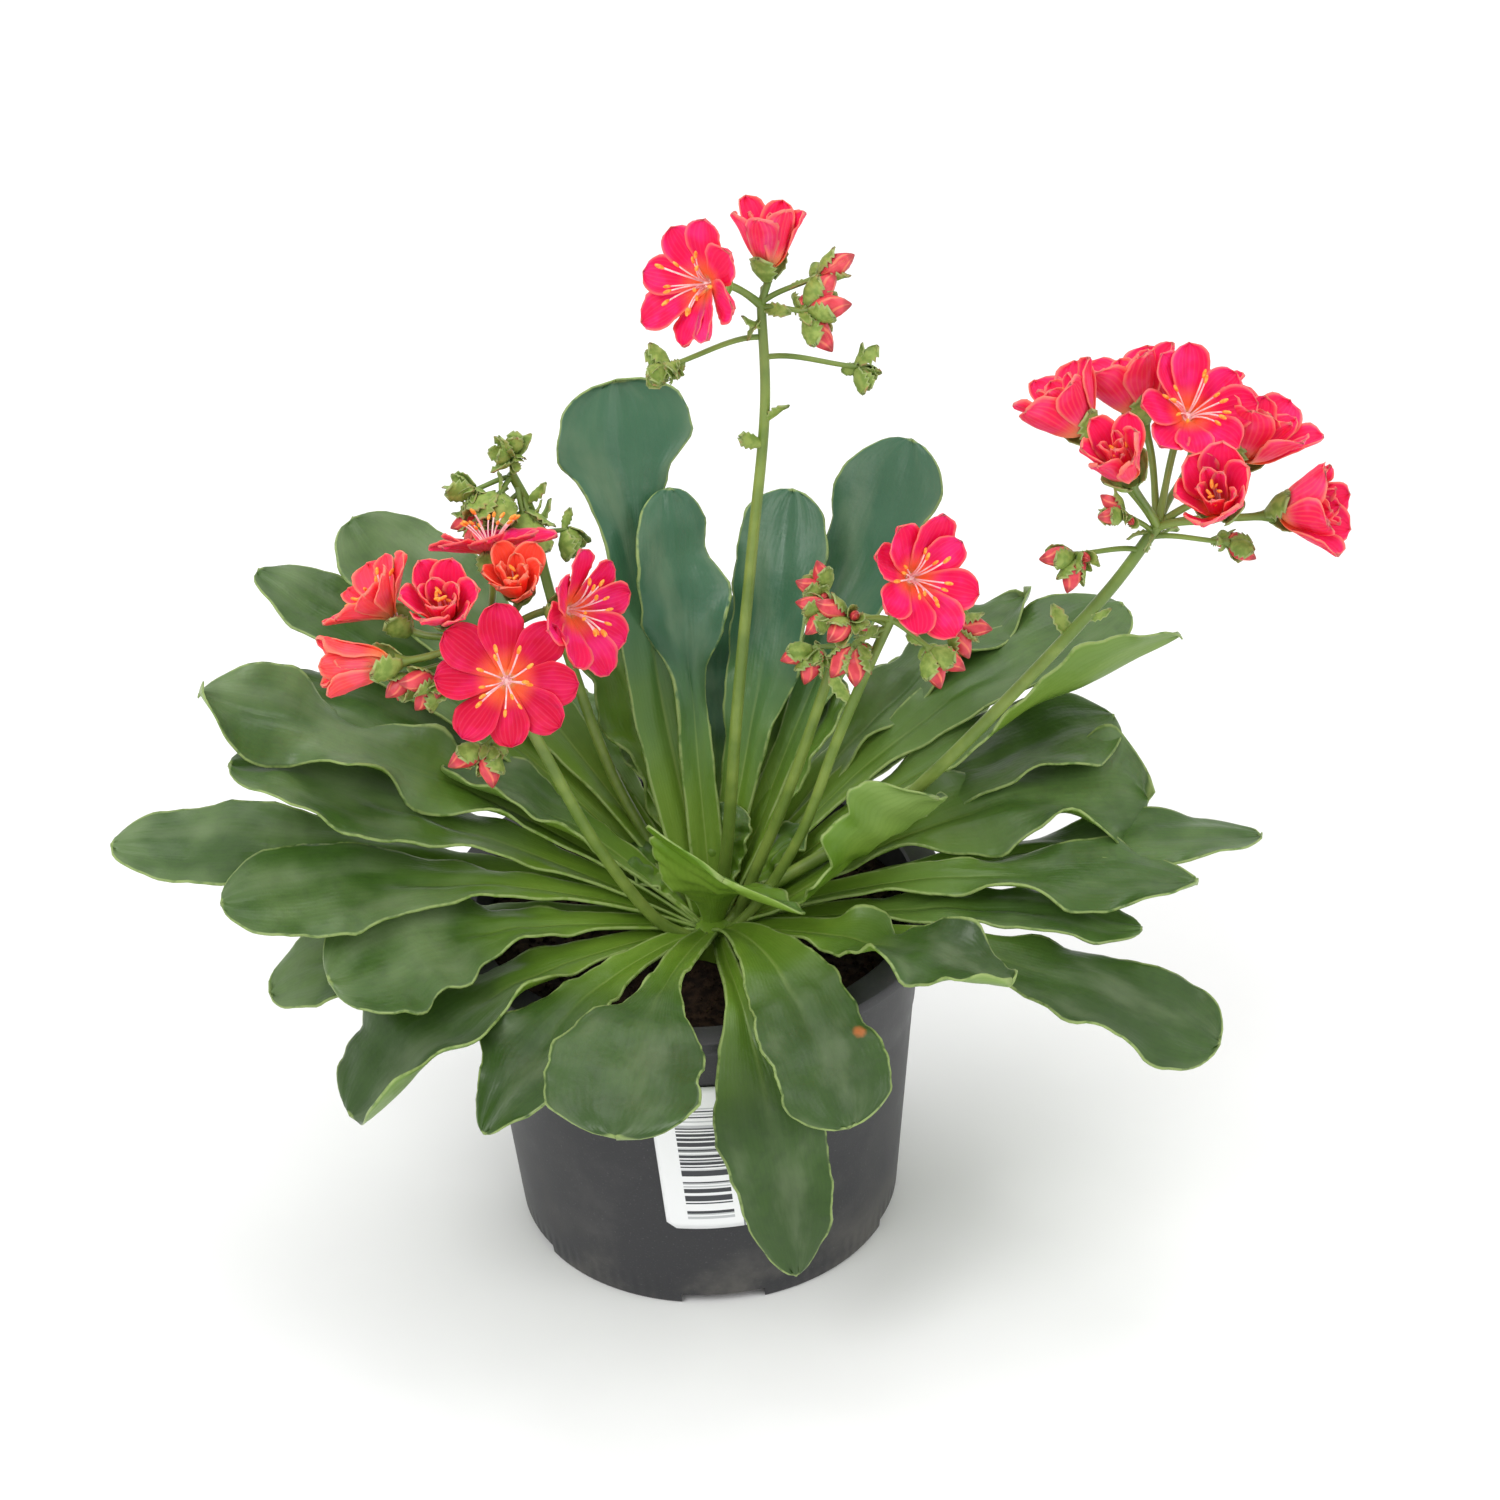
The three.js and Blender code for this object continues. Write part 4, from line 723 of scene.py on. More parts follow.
def pot_plastic(look):
    """Polypropylene, injection moulded: charcoal with a fine satin grain, soft scuffs, dried splashes near
    the foot and shallow ribs round its lower edge."""
    material, tree, shader, place = new_finish("injection_moulded_polypropylene", {
        "Roughness": 0.5, "Specular IOR Level": 0.4})
    spot = add(tree, SPLIT, {0: place})
    dust = add(tree, NOISE, {"Vector": place, "Scale": 1 / (26 * MM), "Detail": 5.0, "Roughness": 0.65})
    grain = add(tree, NOISE, {"Vector": place, "Scale": 1 / (0.5 * MM), "Detail": 2.0})
    angle = add(tree, MATH, {0: spot.outputs[1], 1: spot.outputs[0]}, operation="ARCTAN2")
    turns = add(tree, MATH, {0: angle, 1: 96.0}, operation="MULTIPLY")
    beat = add(tree, MATH, {0: turns}, operation="SINE")
    ribs = add(tree, RANGE, {0: spot.outputs[2], 1: 9 * MM, 2: 5 * MM, 4: beat})
    skinned(
        tree, shader, (*look.plastic, 1.0),
        (0.5, "#4F4E4D", (dust, 0.48, 0.75)),
        (0.55, "#69665F", (spot.outputs[2], 22 * MM, 0.0), (dust, 0.4, 0.7)),
        (0.5, "#5B5B5C", (grain, 0.6, 0.8)),
    )
    rough = add(tree, RANGE, {0: dust, 1: 0.3, 2: 0.8, 3: 0.4, 4: 0.62})
    tree.links.new(rough.outputs[0], shader.inputs["Roughness"])
    relief(tree, shader, 0.3, 0.3 * MM, (grain, 0.3), (ribs, 0.6))
    return material


def label_paper():
    """Coated paper sticker: bright white with a low gloss, one block of plain printed stripes and a thin
    rule. It has no writing."""
    material, tree, shader, _ = new_finish("coated_paper_sticker", {
        "Roughness": 0.4, "Specular IOR Level": 0.45})
    _, x, y, *_ = own_map(tree)
    # rows of ink, each drawn dark, grey or bare
    rows = add(tree, MATH, {0: y, 1: LABEL["tall"] / LABEL["row"]}, operation="MULTIPLY")
    row = add(tree, MATH, {0: rows}, operation="FLOOR")
    drawn = add(tree, "ShaderNodeTexWhiteNoise", {"W": row}, noise_dimensions="1D")
    hair = 0.002
    printed = ((x, 0.2, 0.2 + hair), (x, 0.62, 0.62 - hair), (y, 0.07, 0.07 + hair), (y, 0.86, 0.86 - hair))
    skinned(
        tree, shader, hex_colour("#F2F3F4"),
        (1.0, "#35383C", (drawn, 0.42, 0.4), *printed),
        (0.6, "#8B8F94", (drawn, 0.55, 0.57), (drawn, 0.74, 0.72), *printed),
        (1.0, "#6A6D72", (x, 0.69, 0.692), (x, 0.706, 0.704), (y, 0.9, 0.898)),
    )
    return material


def stalks_tree():
    """Round green stalks along curves, each point's radius kept, closed at both ends."""
    tree, inside, outside = new_tree("stalks_on_curves", ("Sides", "Int", 12), ("Finish", "Material"))
    ring = add(tree, "GeometryNodeCurvePrimitiveCircle", {
        "Resolution": inside.outputs["Sides"], "Radius": MM})
    tube = add(tree, "GeometryNodeCurveToMesh", {
        "Curve": inside.outputs["Geometry"], "Profile Curve": ring.outputs["Curve"], "Fill Caps": True})
    if "Scale" in tube.inputs:
        tree.links.new(add(tree, "GeometryNodeInputRadius").outputs[0], tube.inputs["Scale"])
    finish_tree(tree, outside, (tube, inside.outputs["Finish"]))
    return tree


def finish_tree(tree, outside, *branches):
    """Ends a tree: each (geometry, finish) branch realised and given its finish, then joined."""
    joined = add(tree, "GeometryNodeJoinGeometry")
    for geometry, finish in reversed(branches):
        solid = add(tree, "GeometryNodeRealizeInstances", {"Geometry": geometry})
        coated = add(tree, "GeometryNodeSetMaterial", {"Geometry": solid, "Material": finish})
        tree.links.new(coated.outputs[0], joined.inputs[0])
    tree.links.new(joined.outputs[0], outside.inputs[0])


def on_points_tree():
    """Sets a piece on every point, along the point's axis and at its size."""
    tree, inside, outside = new_tree(
        "pieces_on_points", ("Piece", "Object"), ("Finish", "Material"), ("Seed", "Int", 1))
    axis, size = (add(tree, "GeometryNodeInputNamedAttribute", {"Name": name}, data_type=kind)
                  for name, kind in (("axis", "FLOAT_VECTOR"), ("size", "FLOAT")))
    spin = add(tree, "FunctionNodeRandomValue", {2: 0.0, 3: 2 * math.pi, "Seed": inside.outputs["Seed"]},
               data_type="FLOAT")
    turned = add(tree, JOIN, {2: spin})
    facing = add(tree, "FunctionNodeAlignEulerToVector", {"Rotation": turned, "Vector": axis}, axis="Z")
    piece = add(tree, "GeometryNodeObjectInfo", {"Object": inside.outputs["Piece"]})
    placed = add(tree, "GeometryNodeInstanceOnPoints", {
        "Points": inside.outputs["Geometry"], "Instance": piece.outputs["Geometry"], "Rotation": facing,
        "Scale": size})
    finish_tree(tree, outside, (placed, inside.outputs["Finish"]))
    return tree


def flower_tree():
    """Two whorls of petals, a ring of stamens and the pale ovary round +Z, then turned and set in place."""
    tree, inside, outside = new_tree(
        "whorls_of_petals", ("Petals", "Int", 8), ("Inner Petal", "Object"), ("Inner Petals", "Int", 0),
        ("Stamens", "Int", 12), ("Stamen Length", "Float", 0.01), ("Spread", "Float", 0.6),
        ("Sway", "Float", 0.1), ("Seed", "Int", 1), ("Facing", "Vector"), ("Place", "Vector"),
        ("Petal Finish", "Material"), ("Filament Finish", "Material"), ("Anther Finish", "Material"))
    give = inside.outputs
    index = add(tree, "GeometryNodeInputIndex")
    length = give["Stamen Length"]
    half, out = (add(tree, MATH, {0: length, 1: share}, operation="MULTIPLY")
                 for share in (0.55, give["Spread"]))
    bow = add(tree, JOIN, {0: 1.2 * MM, 2: half})
    tip = add(tree, JOIN, {0: out, 2: length})
    curve = add(tree, "GeometryNodeCurveQuadraticBezier", {
        "Resolution": 6, "Start": (0.8 * MM, 0, 0.8 * MM), "Middle": bow, "End": tip})
    thread = add(tree, "GeometryNodeCurvePrimitiveCircle", {"Resolution": 6, "Radius": 0.2 * MM})
    filament = add(tree, "GeometryNodeCurveToMesh", {
        "Curve": curve, "Fill Caps": True, "Profile Curve": thread})
    grain = add(tree, "GeometryNodeMeshUVSphere", {"Segments": 8, "Rings": 6, "Radius": 0.5 * MM})
    anther = add(tree, "GeometryNodeTransform", {
        "Geometry": grain, "Translation": tip, "Rotation": (0, 1.0, 0), "Scale": (0.9, 0.9, 2.2)})
    ovary = add(tree, "GeometryNodeMeshUVSphere", {"Segments": 12, "Rings": 8, "Radius": 1.3 * MM})
    inner = add(tree, "GeometryNodeObjectInfo", {"Object": give["Inner Petal"]})
    # piece, how many, first angle, how far it strays in turns of Sway, smallest and largest, finish
    rings = (
        (give["Geometry"], give["Petals"], 0.0, 1.4, 0.88, 1.05, "Petal Finish"),
        (inner.outputs["Geometry"], give["Inner Petals"], 0.45, 1.6, 0.85, 1.02, "Petal Finish"),
        (filament, give["Stamens"], 0.2, 2.6, 0.8, 1.06, "Filament Finish"),
        (anther, give["Stamens"], 0.2, 2.6, 0.8, 1.06, "Anther Finish"),
        (ovary, 1, 0.0, 0.0, 1.0, 1.0, "Filament Finish"),
    )
    branches = []
    for piece, count, first, strays, least, most, finish in rings:
        share = add(tree, MATH, {0: 2 * math.pi, 1: count}, operation="DIVIDE")
        angle = add(tree, MATH, {0: index, 1: share, 2: first}, operation="MULTIPLY_ADD")
        stray = add(tree, "FunctionNodeRandomValue", {
            0: (-strays,) * 3, 1: (strays,) * 3, "Seed": give["Seed"]}, data_type="FLOAT_VECTOR")
        stray = add(tree, "ShaderNodeVectorMath", {0: stray, "Scale": give["Sway"]}, operation="SCALE")
        turn = add(tree, "ShaderNodeVectorMath", {0: stray, 1: add(tree, JOIN, {2: angle})})
        size = add(tree, "FunctionNodeRandomValue", {
            2: least, 3: most, "Seed": give["Seed"]}, data_type="FLOAT")
        points = add(tree, "GeometryNodePoints", {"Count": count})
        placed = add(tree, "GeometryNodeInstanceOnPoints", {
            "Points": points, "Instance": piece, "Rotation": turn, "Scale": size})
        moved = add(tree, "GeometryNodeTransform", {
            "Geometry": placed, "Rotation": give["Facing"], "Translation": give["Place"]})
        branches.append((moved, give[finish]))
    finish_tree(tree, outside, *branches)
    return tree


def crumbs_tree():
    """Soil with crumbs strewn over its upper faces."""
    tree, inside, outside = new_tree(
        "crumbs_on_soil", ("Crumb", "Object"), ("Spacing", "Float", 0.0016),
        ("Density", "Float", SOIL["crumbs"]), ("Seed", "Int", 3), ("Finish", "Material"))
    upright = add(tree, SPLIT, {0: add(tree, "GeometryNodeInputNormal")})
    upper = add(tree, "FunctionNodeCompare", {0: upright.outputs[2], 1: 0.6},
                data_type="FLOAT", operation="GREATER_THAN")
    strewn = add(tree, "GeometryNodeDistributePointsOnFaces", {
        "Mesh": inside.outputs["Geometry"], "Selection": upper, "Distance Min": inside.outputs["Spacing"],
        "Density Max": inside.outputs["Density"], "Seed": inside.outputs["Seed"],
    }, distribute_method="POISSON")
    turn = add(tree, "FunctionNodeRandomValue", {0: (0, 0, 0), 1: (6.2, 6.2, 6.2)}, data_type="FLOAT_VECTOR")
    size = add(tree, "FunctionNodeRandomValue", {2: 0.35, 3: 1.25}, data_type="FLOAT")
    crumb = add(tree, "GeometryNodeObjectInfo", {"Object": inside.outputs["Crumb"]})
    placed = add(tree, "GeometryNodeInstanceOnPoints", {
        "Points": strewn, "Instance": crumb.outputs["Geometry"], "Rotation": turn, "Scale": size})
    finish = inside.outputs["Finish"]
    finish_tree(tree, outside, (inside.outputs["Geometry"], finish), (placed, finish))
    return tree


def lathe(profile, sides):
    """Closed turned form from a profile that starts and ends on the axis."""
    rings = [p for p in profile if p[0] > 1e-6]
    turns = np.arange(sides) * 2 * math.pi / sides
    points = [(0, 0, profile[0][1])]
    for r, z in rings:
        points += [(r * math.cos(a), r * math.sin(a), z) for a in turns]
    points.append((0, 0, profile[-1][1]))
    faces, last = [], 1 + (len(rings) - 1) * sides
    for j in range(sides):
        k = (j + 1) % sides
        faces += [(0, 1 + k, 1 + j), (last + j, last + k, len(points) - 1)]
        for a in range(1, last, sides):
            faces.append((a + j, a + k, a + sides + k, a + sides + j))
    return dict(points=np.array(points, float), faces=faces)


def marked(part, tone, s):
    """Gives a plain form the marks that the living finishes read."""
    count = len(part["points"])
    return dict(part, uv=np.tile((0.3, s), (count, 1)), edge=np.full(count, 9.0), under=np.zeros(count),
                tone=np.full(count, tone))


def flower_form(opening):
    """The numbers of a cup or of an open flower."""
    return CUPPED if opening < CUP else OPEN


def petal_form(size, opening, cup, seed, tone, wide, rows=17, columns=13):
    """One petal that leaves +Z towards +X: claw, broad blade and a rounded, waved, faintly pointed tip."""
    length, claw, form = PETAL["length"] * size, PETAL["claw"], flower_form(opening)
    pitch = 2 * math.pi * (1 + 0.6 * length * math.sin(math.radians(opening))) / form["round_of"]
    width = min(PETAL["width"] * size, 1.4 * pitch) * wide
    s = np.linspace(0, 1, rows) ** 0.85
    u = np.linspace(-1, 1, columns)
    share = claw / width + (1 - claw / width) * smooth(s, -0.1, 0.74) ** 1.1
    share = share * np.sqrt(np.maximum(0, 1 - (np.maximum(0, s - 0.64) / 0.36) ** 2.3))
    bent = form["bowl"] * (1 - smooth(s, 0, 0.4))
    angle = np.radians(opening - 6 + bent + form["turned"] * smooth(s, 0.6, 1))
    run = np.stack((np.sin(angle), 0 * s, np.cos(angle)), 1)
    steps = run[1:] * np.diff(s)[:, None] * length
    centre = np.concatenate(([np.zeros(3)], np.cumsum(steps, 0))) + (0.8, 0, 0)
    grid = np.zeros((rows, columns, 3))
    for i in range(rows):
        across = rotated(np.array((0.0, 1.0, 0.0)), run[i], math.radians(12))
        inner = np.cross(run[i], across)
        half = 0.5 * width * share[i]
        for j in range(columns):
            ripple = 0.45 * abs(u[j]) ** 3 * wander(s[i] * 2.5 + 4 * (u[j] > 0), seed)
            ripple *= smooth(s[i], 0.3, 0.8)
            ripple += 0.45 * smooth(s[i], 0.65, 1) * wander(u[j] * 1.3, seed + 5)
            crease = -0.35 * math.exp(-(u[j] / 0.18) ** 2) * smooth(s[i], 0.1, 0.4)
            point = 0.7 * wander(u[j] * 1.6, seed + 9) + math.exp(-(u[j] / 0.25) ** 2)
            jag = 0.8 * share[i] * point * s[i] ** 6
            hollow = cup * half * (u[j] ** 2 - 0.35) * smooth(s[i], 0.1, 0.6)
            grid[i, j] = (centre[i] + across * half * u[j] + run[i] * jag
                          + inner * (hollow + ripple + crease))
    return blade_from_grid(grid, s, u, 0.5 * width * share, PETAL["thick"], tone)


def bent_round(radius, turn, height):
    """Rows of points round +Z: a radius for each row, and an angle and a height for each point."""
    return np.stack(np.broadcast_arrays(
        radius[:, None] * np.cos(turn), radius[:, None] * np.sin(turn), height), -1)


def toothed_blade(length, width, wrap, flare, hold, thick=0.5, rows=11, columns=9):
    """A small green blade along +Z, bent round the axis at a radius, with a toothed rim that turns out."""
    s, u = np.linspace(0, 1, rows), np.linspace(-1, 1, columns)
    past = np.maximum(0, s - 0.5) / 0.5
    share = (0.45 + 0.55 * smooth(s, 0, 0.45)) * np.sqrt(np.maximum(0.03, 1 - past ** 2.2))
    share = share * (1 + 0.16 * np.cos(np.pi * np.arange(rows)) * smooth(s, 0.1, 0.4) * (s < 1))
    radius = hold + wrap * smooth(s, -0.2, 0.5) + flare * s ** 3
    half = 0.5 * width * share
    turn = u[None, :] * (half / np.maximum(radius, 0.5 * wrap))[:, None]
    tip = 0.06 * length * np.cos(np.pi * np.arange(columns))[None, :] * (s ** 5)[:, None]
    grid = bent_round(radius, turn, s[:, None] * length + tip)
    return blade_from_grid(grid[:, ::-1], s, u, half, thick, 0.2)


def pair(part, angle, lift=0.0):
    """Two of a part on opposite sides of +Z."""
    turns = [np.array(Matrix.Rotation(angle + half, 3, "Z")) for half in (0.0, math.pi)]
    return together([dict(part, points=part["points"] @ turn.T + (0, 0, lift)) for turn in turns])


def bud_form():
    """A pointed bud on +Z, its furled petals wound round it."""
    profile = ((0, 1.5), (0.7, 1.6), (1.5, 2.3), (2.25, 3.4), (2.5, 4.8), (2.35, 6.0), (1.9, 7.2),
               (1.25, 8.3), (0.6, 9.1), (0.2, 9.5), (0, 9.55))
    part = marked(lathe(profile, 24), 0.9, 0.0)
    points = part["points"]
    angle = np.arctan2(points[:, 1], points[:, 0])
    furl = 1 - 0.1 * np.abs(np.sin(2.5 * (angle + 0.35 * points[:, 2]))) * smooth(points[:, 2], 3.0, 6.0)
    points[:, :2] *= furl[:, None]
    part["uv"] = np.stack((angle / (2 * np.pi) + 0.5, smooth(points[:, 2], 1.5, 9.5)), 1)
    return part


def through(points, steps=10):
    """A smooth centripetal curve through points."""
    p = [np.asarray(q, float) for q in points]
    p = [2 * p[0] - p[1], *p, 2 * p[-1] - p[-2]]
    line = []
    for quad in zip(p, p[1:], p[2:], p[3:]):
        knot = np.cumsum([0, *(np.linalg.norm(b - a) ** 0.5 for a, b in zip(quad, quad[1:]))])
        for t in np.linspace(knot[1], knot[2], steps, endpoint=False):
            level = quad
            for spans in (((0, 1), (1, 2), (2, 3)), ((0, 2), (1, 3)), ((1, 2),)):
                level = [((knot[b] - t) * q + (t - knot[a]) * r) / (knot[b] - knot[a])
                         for (a, b), q, r in zip(spans, level, level[1:])]
            line.append(level[0])
    return np.array(line + [p[-2]])


def arching(start, end, axis, steps=14):
    """Points of a shoot that rises a little and meets its end along an axis."""
    reach = np.linalg.norm(end - start)
    risen = start + (end - start) * 0.3 + np.array((0, 0, 0.1 * reach))
    curve = (start, risen, end - axis * 0.4 * reach, end)
    return spread(curve, np.linspace(0, 1, steps))[0]


def linked(name, data):
    """A new object in the scene."""
    piece = bpy.data.objects.new(name, data)
    bpy.context.scene.collection.objects.link(piece)
    return piece


def built(name, form):
    """A new object in the scene from a bmesh, which is used up."""
    mesh = bpy.data.meshes.new(name)
    form.to_mesh(mesh)
    form.free()
    return linked(name, mesh)


def stalk_curve(lines):
    """A curve object from (points, radii) lines in millimetres."""
    data = bpy.data.curves.new("lines", "CURVE")
    data.dimensions = "3D"
    for points, radii in lines:
        spline = data.splines.new("POLY")
        spline.points.add(len(points) - 1)
        spline.points.foreach_set("co", np.concatenate((points * MM, np.ones((len(points), 1))), 1).ravel())
        spline.points.foreach_set("radius", np.asarray(radii, float))
    return linked("lines", data)


def point_mesh(rows):
    """Points with an axis and a size each, from (place, axis, size) rows in millimetres."""
    mesh = bpy.data.meshes.new("points")
    mesh.from_pydata([tuple(np.asarray(place) * MM) for place, _, _ in rows], [], [])
    mark(mesh, "axis", np.array([axis for _, axis, _ in rows], float).ravel(), "FLOAT_VECTOR")
    mark(mesh, "size", [size for _, _, size in rows])
    return linked("points", mesh)


def joined(name, pieces):
    """Several objects as one, under a new name."""
    with bpy.context.temp_override(active_object=pieces[0], selected_editable_objects=pieces):
        bpy.ops.object.join()
    pieces[0].name = pieces[0].data.name = name
    return pieces[0]


def smooth_all(piece):
    """Shades every face of a piece smoothly."""
    piece.data.polygons.foreach_set("use_smooth", [True] * len(piece.data.polygons))
    piece.data.update()
    return piece


def colour_setting(name, description, value):
    """A colour in the panel, given as a hex value."""
    return FloatVectorProperty(name=name, description=description, subtype="COLOR", size=3,
                               default=hex_colour(value)[:3])


class LewisiaLeaves(bpy.types.PropertyGroup):
    rows: IntProperty(name="Rows", description="Rows of faces along each leaf", default=64, min=12, max=120)
    columns: IntProperty(name="Columns", description="Columns across each leaf", default=21, min=7, max=41)
    notch: FloatProperty(name="Uneven rim", description="How far the rim strays, as a share of width",
                         default=0.05, min=0, max=0.2, subtype="FACTOR")
    petiole: colour_setting("Petiole", "Colour of the leaf stalk", "#648626")
    rim: colour_setting("Rim", "Colour of the pale leaf rim", "#93A863")


class LewisiaFlowers(bpy.types.PropertyGroup):
    petals: IntProperty(name="Petals", description="Petals of an open flower", default=8, min=5, max=12)
    stamens: IntProperty(name="Stamens", description="Stamens of an open flower", default=13, min=0, max=24)
    stamen_length: FloatProperty(name="Stamen length", description="Length of a stamen", default=0.0095,
                                 unit="LENGTH")
    petal: colour_setting("Petal", "Colour of the petal's blade", "#CC0C3A")


class LewisiaPot(bpy.types.PropertyGroup):
    sides: IntProperty(name="Sides", description="Faces round the pot", default=144, min=24, max=256)
    plastic: colour_setting("Plastic", "Colour of the pot", "#2D2D30")
    crumb_spacing: FloatProperty(name="Crumb spacing", description="Least distance between soil crumbs",
                                 default=0.0016, unit="LENGTH")


def wall_radius(z, inset=0.0):
    """Radius of the pot's wall at a height."""
    return POT["foot"] - inset + (POT["top"] - POT["foot"]) * z / (POT["height"] - POT["lip"])


class LEWISIA_OT_pot(bpy.types.Operator):
    """Moulded pot with rolled rim and drainage notches"""
    bl_idname = "lewisia.pot"
    bl_label = "Pot"

    def execute(self, context):
        look = context.scene.lewisia_pot
        rim, top, foot, wall, base = (POT[k] for k in ("rim", "top", "foot", "wall", "base"))
        profile = [(0, 0), (foot - 4, 0), (foot - 1.2, 0), (foot - 0.4, 0.25), (foot, 1.0)]
        # the wall stands out by a quarter of a millimetre above the step in it at 60 mm
        profile += [(wall_radius(z) + (0.25 if z > 60 else 0), z)
                    for z in (4, 12, 25, 40, 55, 59.5, 60.5, 72, 83.4)]
        profile += [(top + 0.4, 84.2), (top + 1.2, 84.5), (rim - 0.9, 84.5), (rim - 0.25, 84.75), (rim, 85.4),
                    (rim, 87.2), (rim - 0.25, 87.75), (rim - 0.8, 88), (top + 0.2, 88),
                    (top - wall + 0.6, 87.9), (top - wall, 87.3)]
        profile += [(wall_radius(z, wall), z) for z in (80, 60, 30, 8)]
        profile += [(foot - wall - 1.2, base), (0, base)]
        shell = mesh_piece("moulded_pot", lathe(profile, look.sides), pot_plastic(look))
        boxes = []
        for i in range(NOTCH["count"]):
            box = bmesh.new()
            bmesh.ops.create_cube(box, size=1.0)
            turn = Matrix.Rotation(math.radians(NOTCH["first"] + 360 * i / NOTCH["count"]), 4, "Z")
            size = Matrix.Diagonal((
                2 * NOTCH["depth"] * MM, NOTCH["width"] * MM, 2 * NOTCH["height"] * MM, 1))
            box.transform(turn @ Matrix.Translation((foot * MM, 0, 0)) @ size)
            boxes.append(built("notch", box))
            cut = shell.modifiers.new("notch", "BOOLEAN")
            cut.operation, cut.object, cut.solver = "DIFFERENCE", boxes[-1], "EXACT"
        mesh = shaped(shell)
        shell.modifiers.clear()
        shell.data = mesh
        for box in boxes:
            discard(box)
        smooth_all(shell)
        mesh.set_sharp_from_angle(angle=math.radians(38))
        belongs(shell, "pot", "pot")
        return {"FINISHED"}


class LEWISIA_OT_soil(bpy.types.Operator):
    """Potting mix with loose crumbs"""
    bl_idname = "lewisia.soil"
    bl_label = "Soil"

    def execute(self, context):
        look = context.scene.lewisia_pot
        # damp peat is matt, nearly black, and breaks into crumbs a millimetre or two wide
        peat = clouded("damp_peat_crumb", "#1B130E", "#3A2B20", 2.4, 1.0,
                       {"Roughness": 0.95, "Specular IOR Level": 0.15}, bump=0.8)
        level, floor, reach = SOIL["level"], POT["base"] + GAP, SOIL["reach"]
        edge = [wall_radius(z, POT["wall"] + GAP + 0.35) for z in (floor, level - 0.6)]
        profile = [(0, floor), (edge[0], floor), (edge[1], level - 0.6)]
        profile += [(r, level + 0.2 - 0.8 * (r / reach) ** 2) for r in np.linspace(49.5, 1.5, 24)]
        profile += [(0, level + 0.2)]
        part = lathe(profile, 96)
        points = part["points"]
        radius = np.hypot(points[:, 0], points[:, 1])
        heap = wander(points[:, 0] / 19, 2) + wander(points[:, 1] / 17 + points[:, 0] / 40, 5)
        points[:, 2] += np.where(points[:, 2] > level - 0.7, 0.55 * heap * smooth(reach - radius, 0, 6), 0)
        bed = mesh_piece("bed", part, peat)
        draw = np.random.default_rng(11)
        lump = bmesh.new()
        bmesh.ops.create_icosphere(lump, subdivisions=1, radius=0.9 * MM)
        for vertex in lump.verts:
            vertex.co *= draw.uniform(0.7, 1.2)
            vertex.co.z *= 0.75
        crumb = built("crumb", lump)
        soil = modelled("potting_mix", bed, crumbs_tree(), {
            "Crumb": crumb, "Spacing": look.crumb_spacing, "Density": SOIL["crumbs"], "Seed": 3,
            "Finish": peat})
        discard(crumb)
        discard(bed)
        belongs(soil, "soil", "soil")
        return {"FINISHED"}


class LEWISIA_OT_label(bpy.types.Operator):
    """Paper sticker on the pot's wall, with no writing"""
    bl_idname = "lewisia.label"
    bl_label = "Label"

    def execute(self, context):
        corner, wide, tall = LABEL["corner"], LABEL["width"], LABEL["tall"]
        u, s = np.linspace(-1, 1, 25), np.linspace(0, 1, 25)
        near = np.maximum(0, corner - tall * np.minimum(s, 1 - s))
        half = wide / 2 - corner + np.sqrt(np.maximum(0, corner ** 2 - near ** 2))
        radius = wall_radius(LABEL["low"] + tall * s) + GAP + LABEL["thick"] / 2
        turn = ((u[None, :] * half[:, None] - LABEL["lean"] * (s[:, None] - 0.5)) / radius[:, None]
                + math.radians(LABEL["bearing"]))
        grid = bent_round(radius, turn, LABEL["low"] + tall * s[:, None])
        part = blade_from_grid(grid, s, u, half, LABEL["paper"], 0.0)
        part["uv"][:, 0] = np.tile((half[:, None] * u[None, :]).ravel(), 2) / wide + 0.5
        belongs(mesh_piece("pot_label", part, label_paper()), "label", "label")
        return {"FINISHED"}


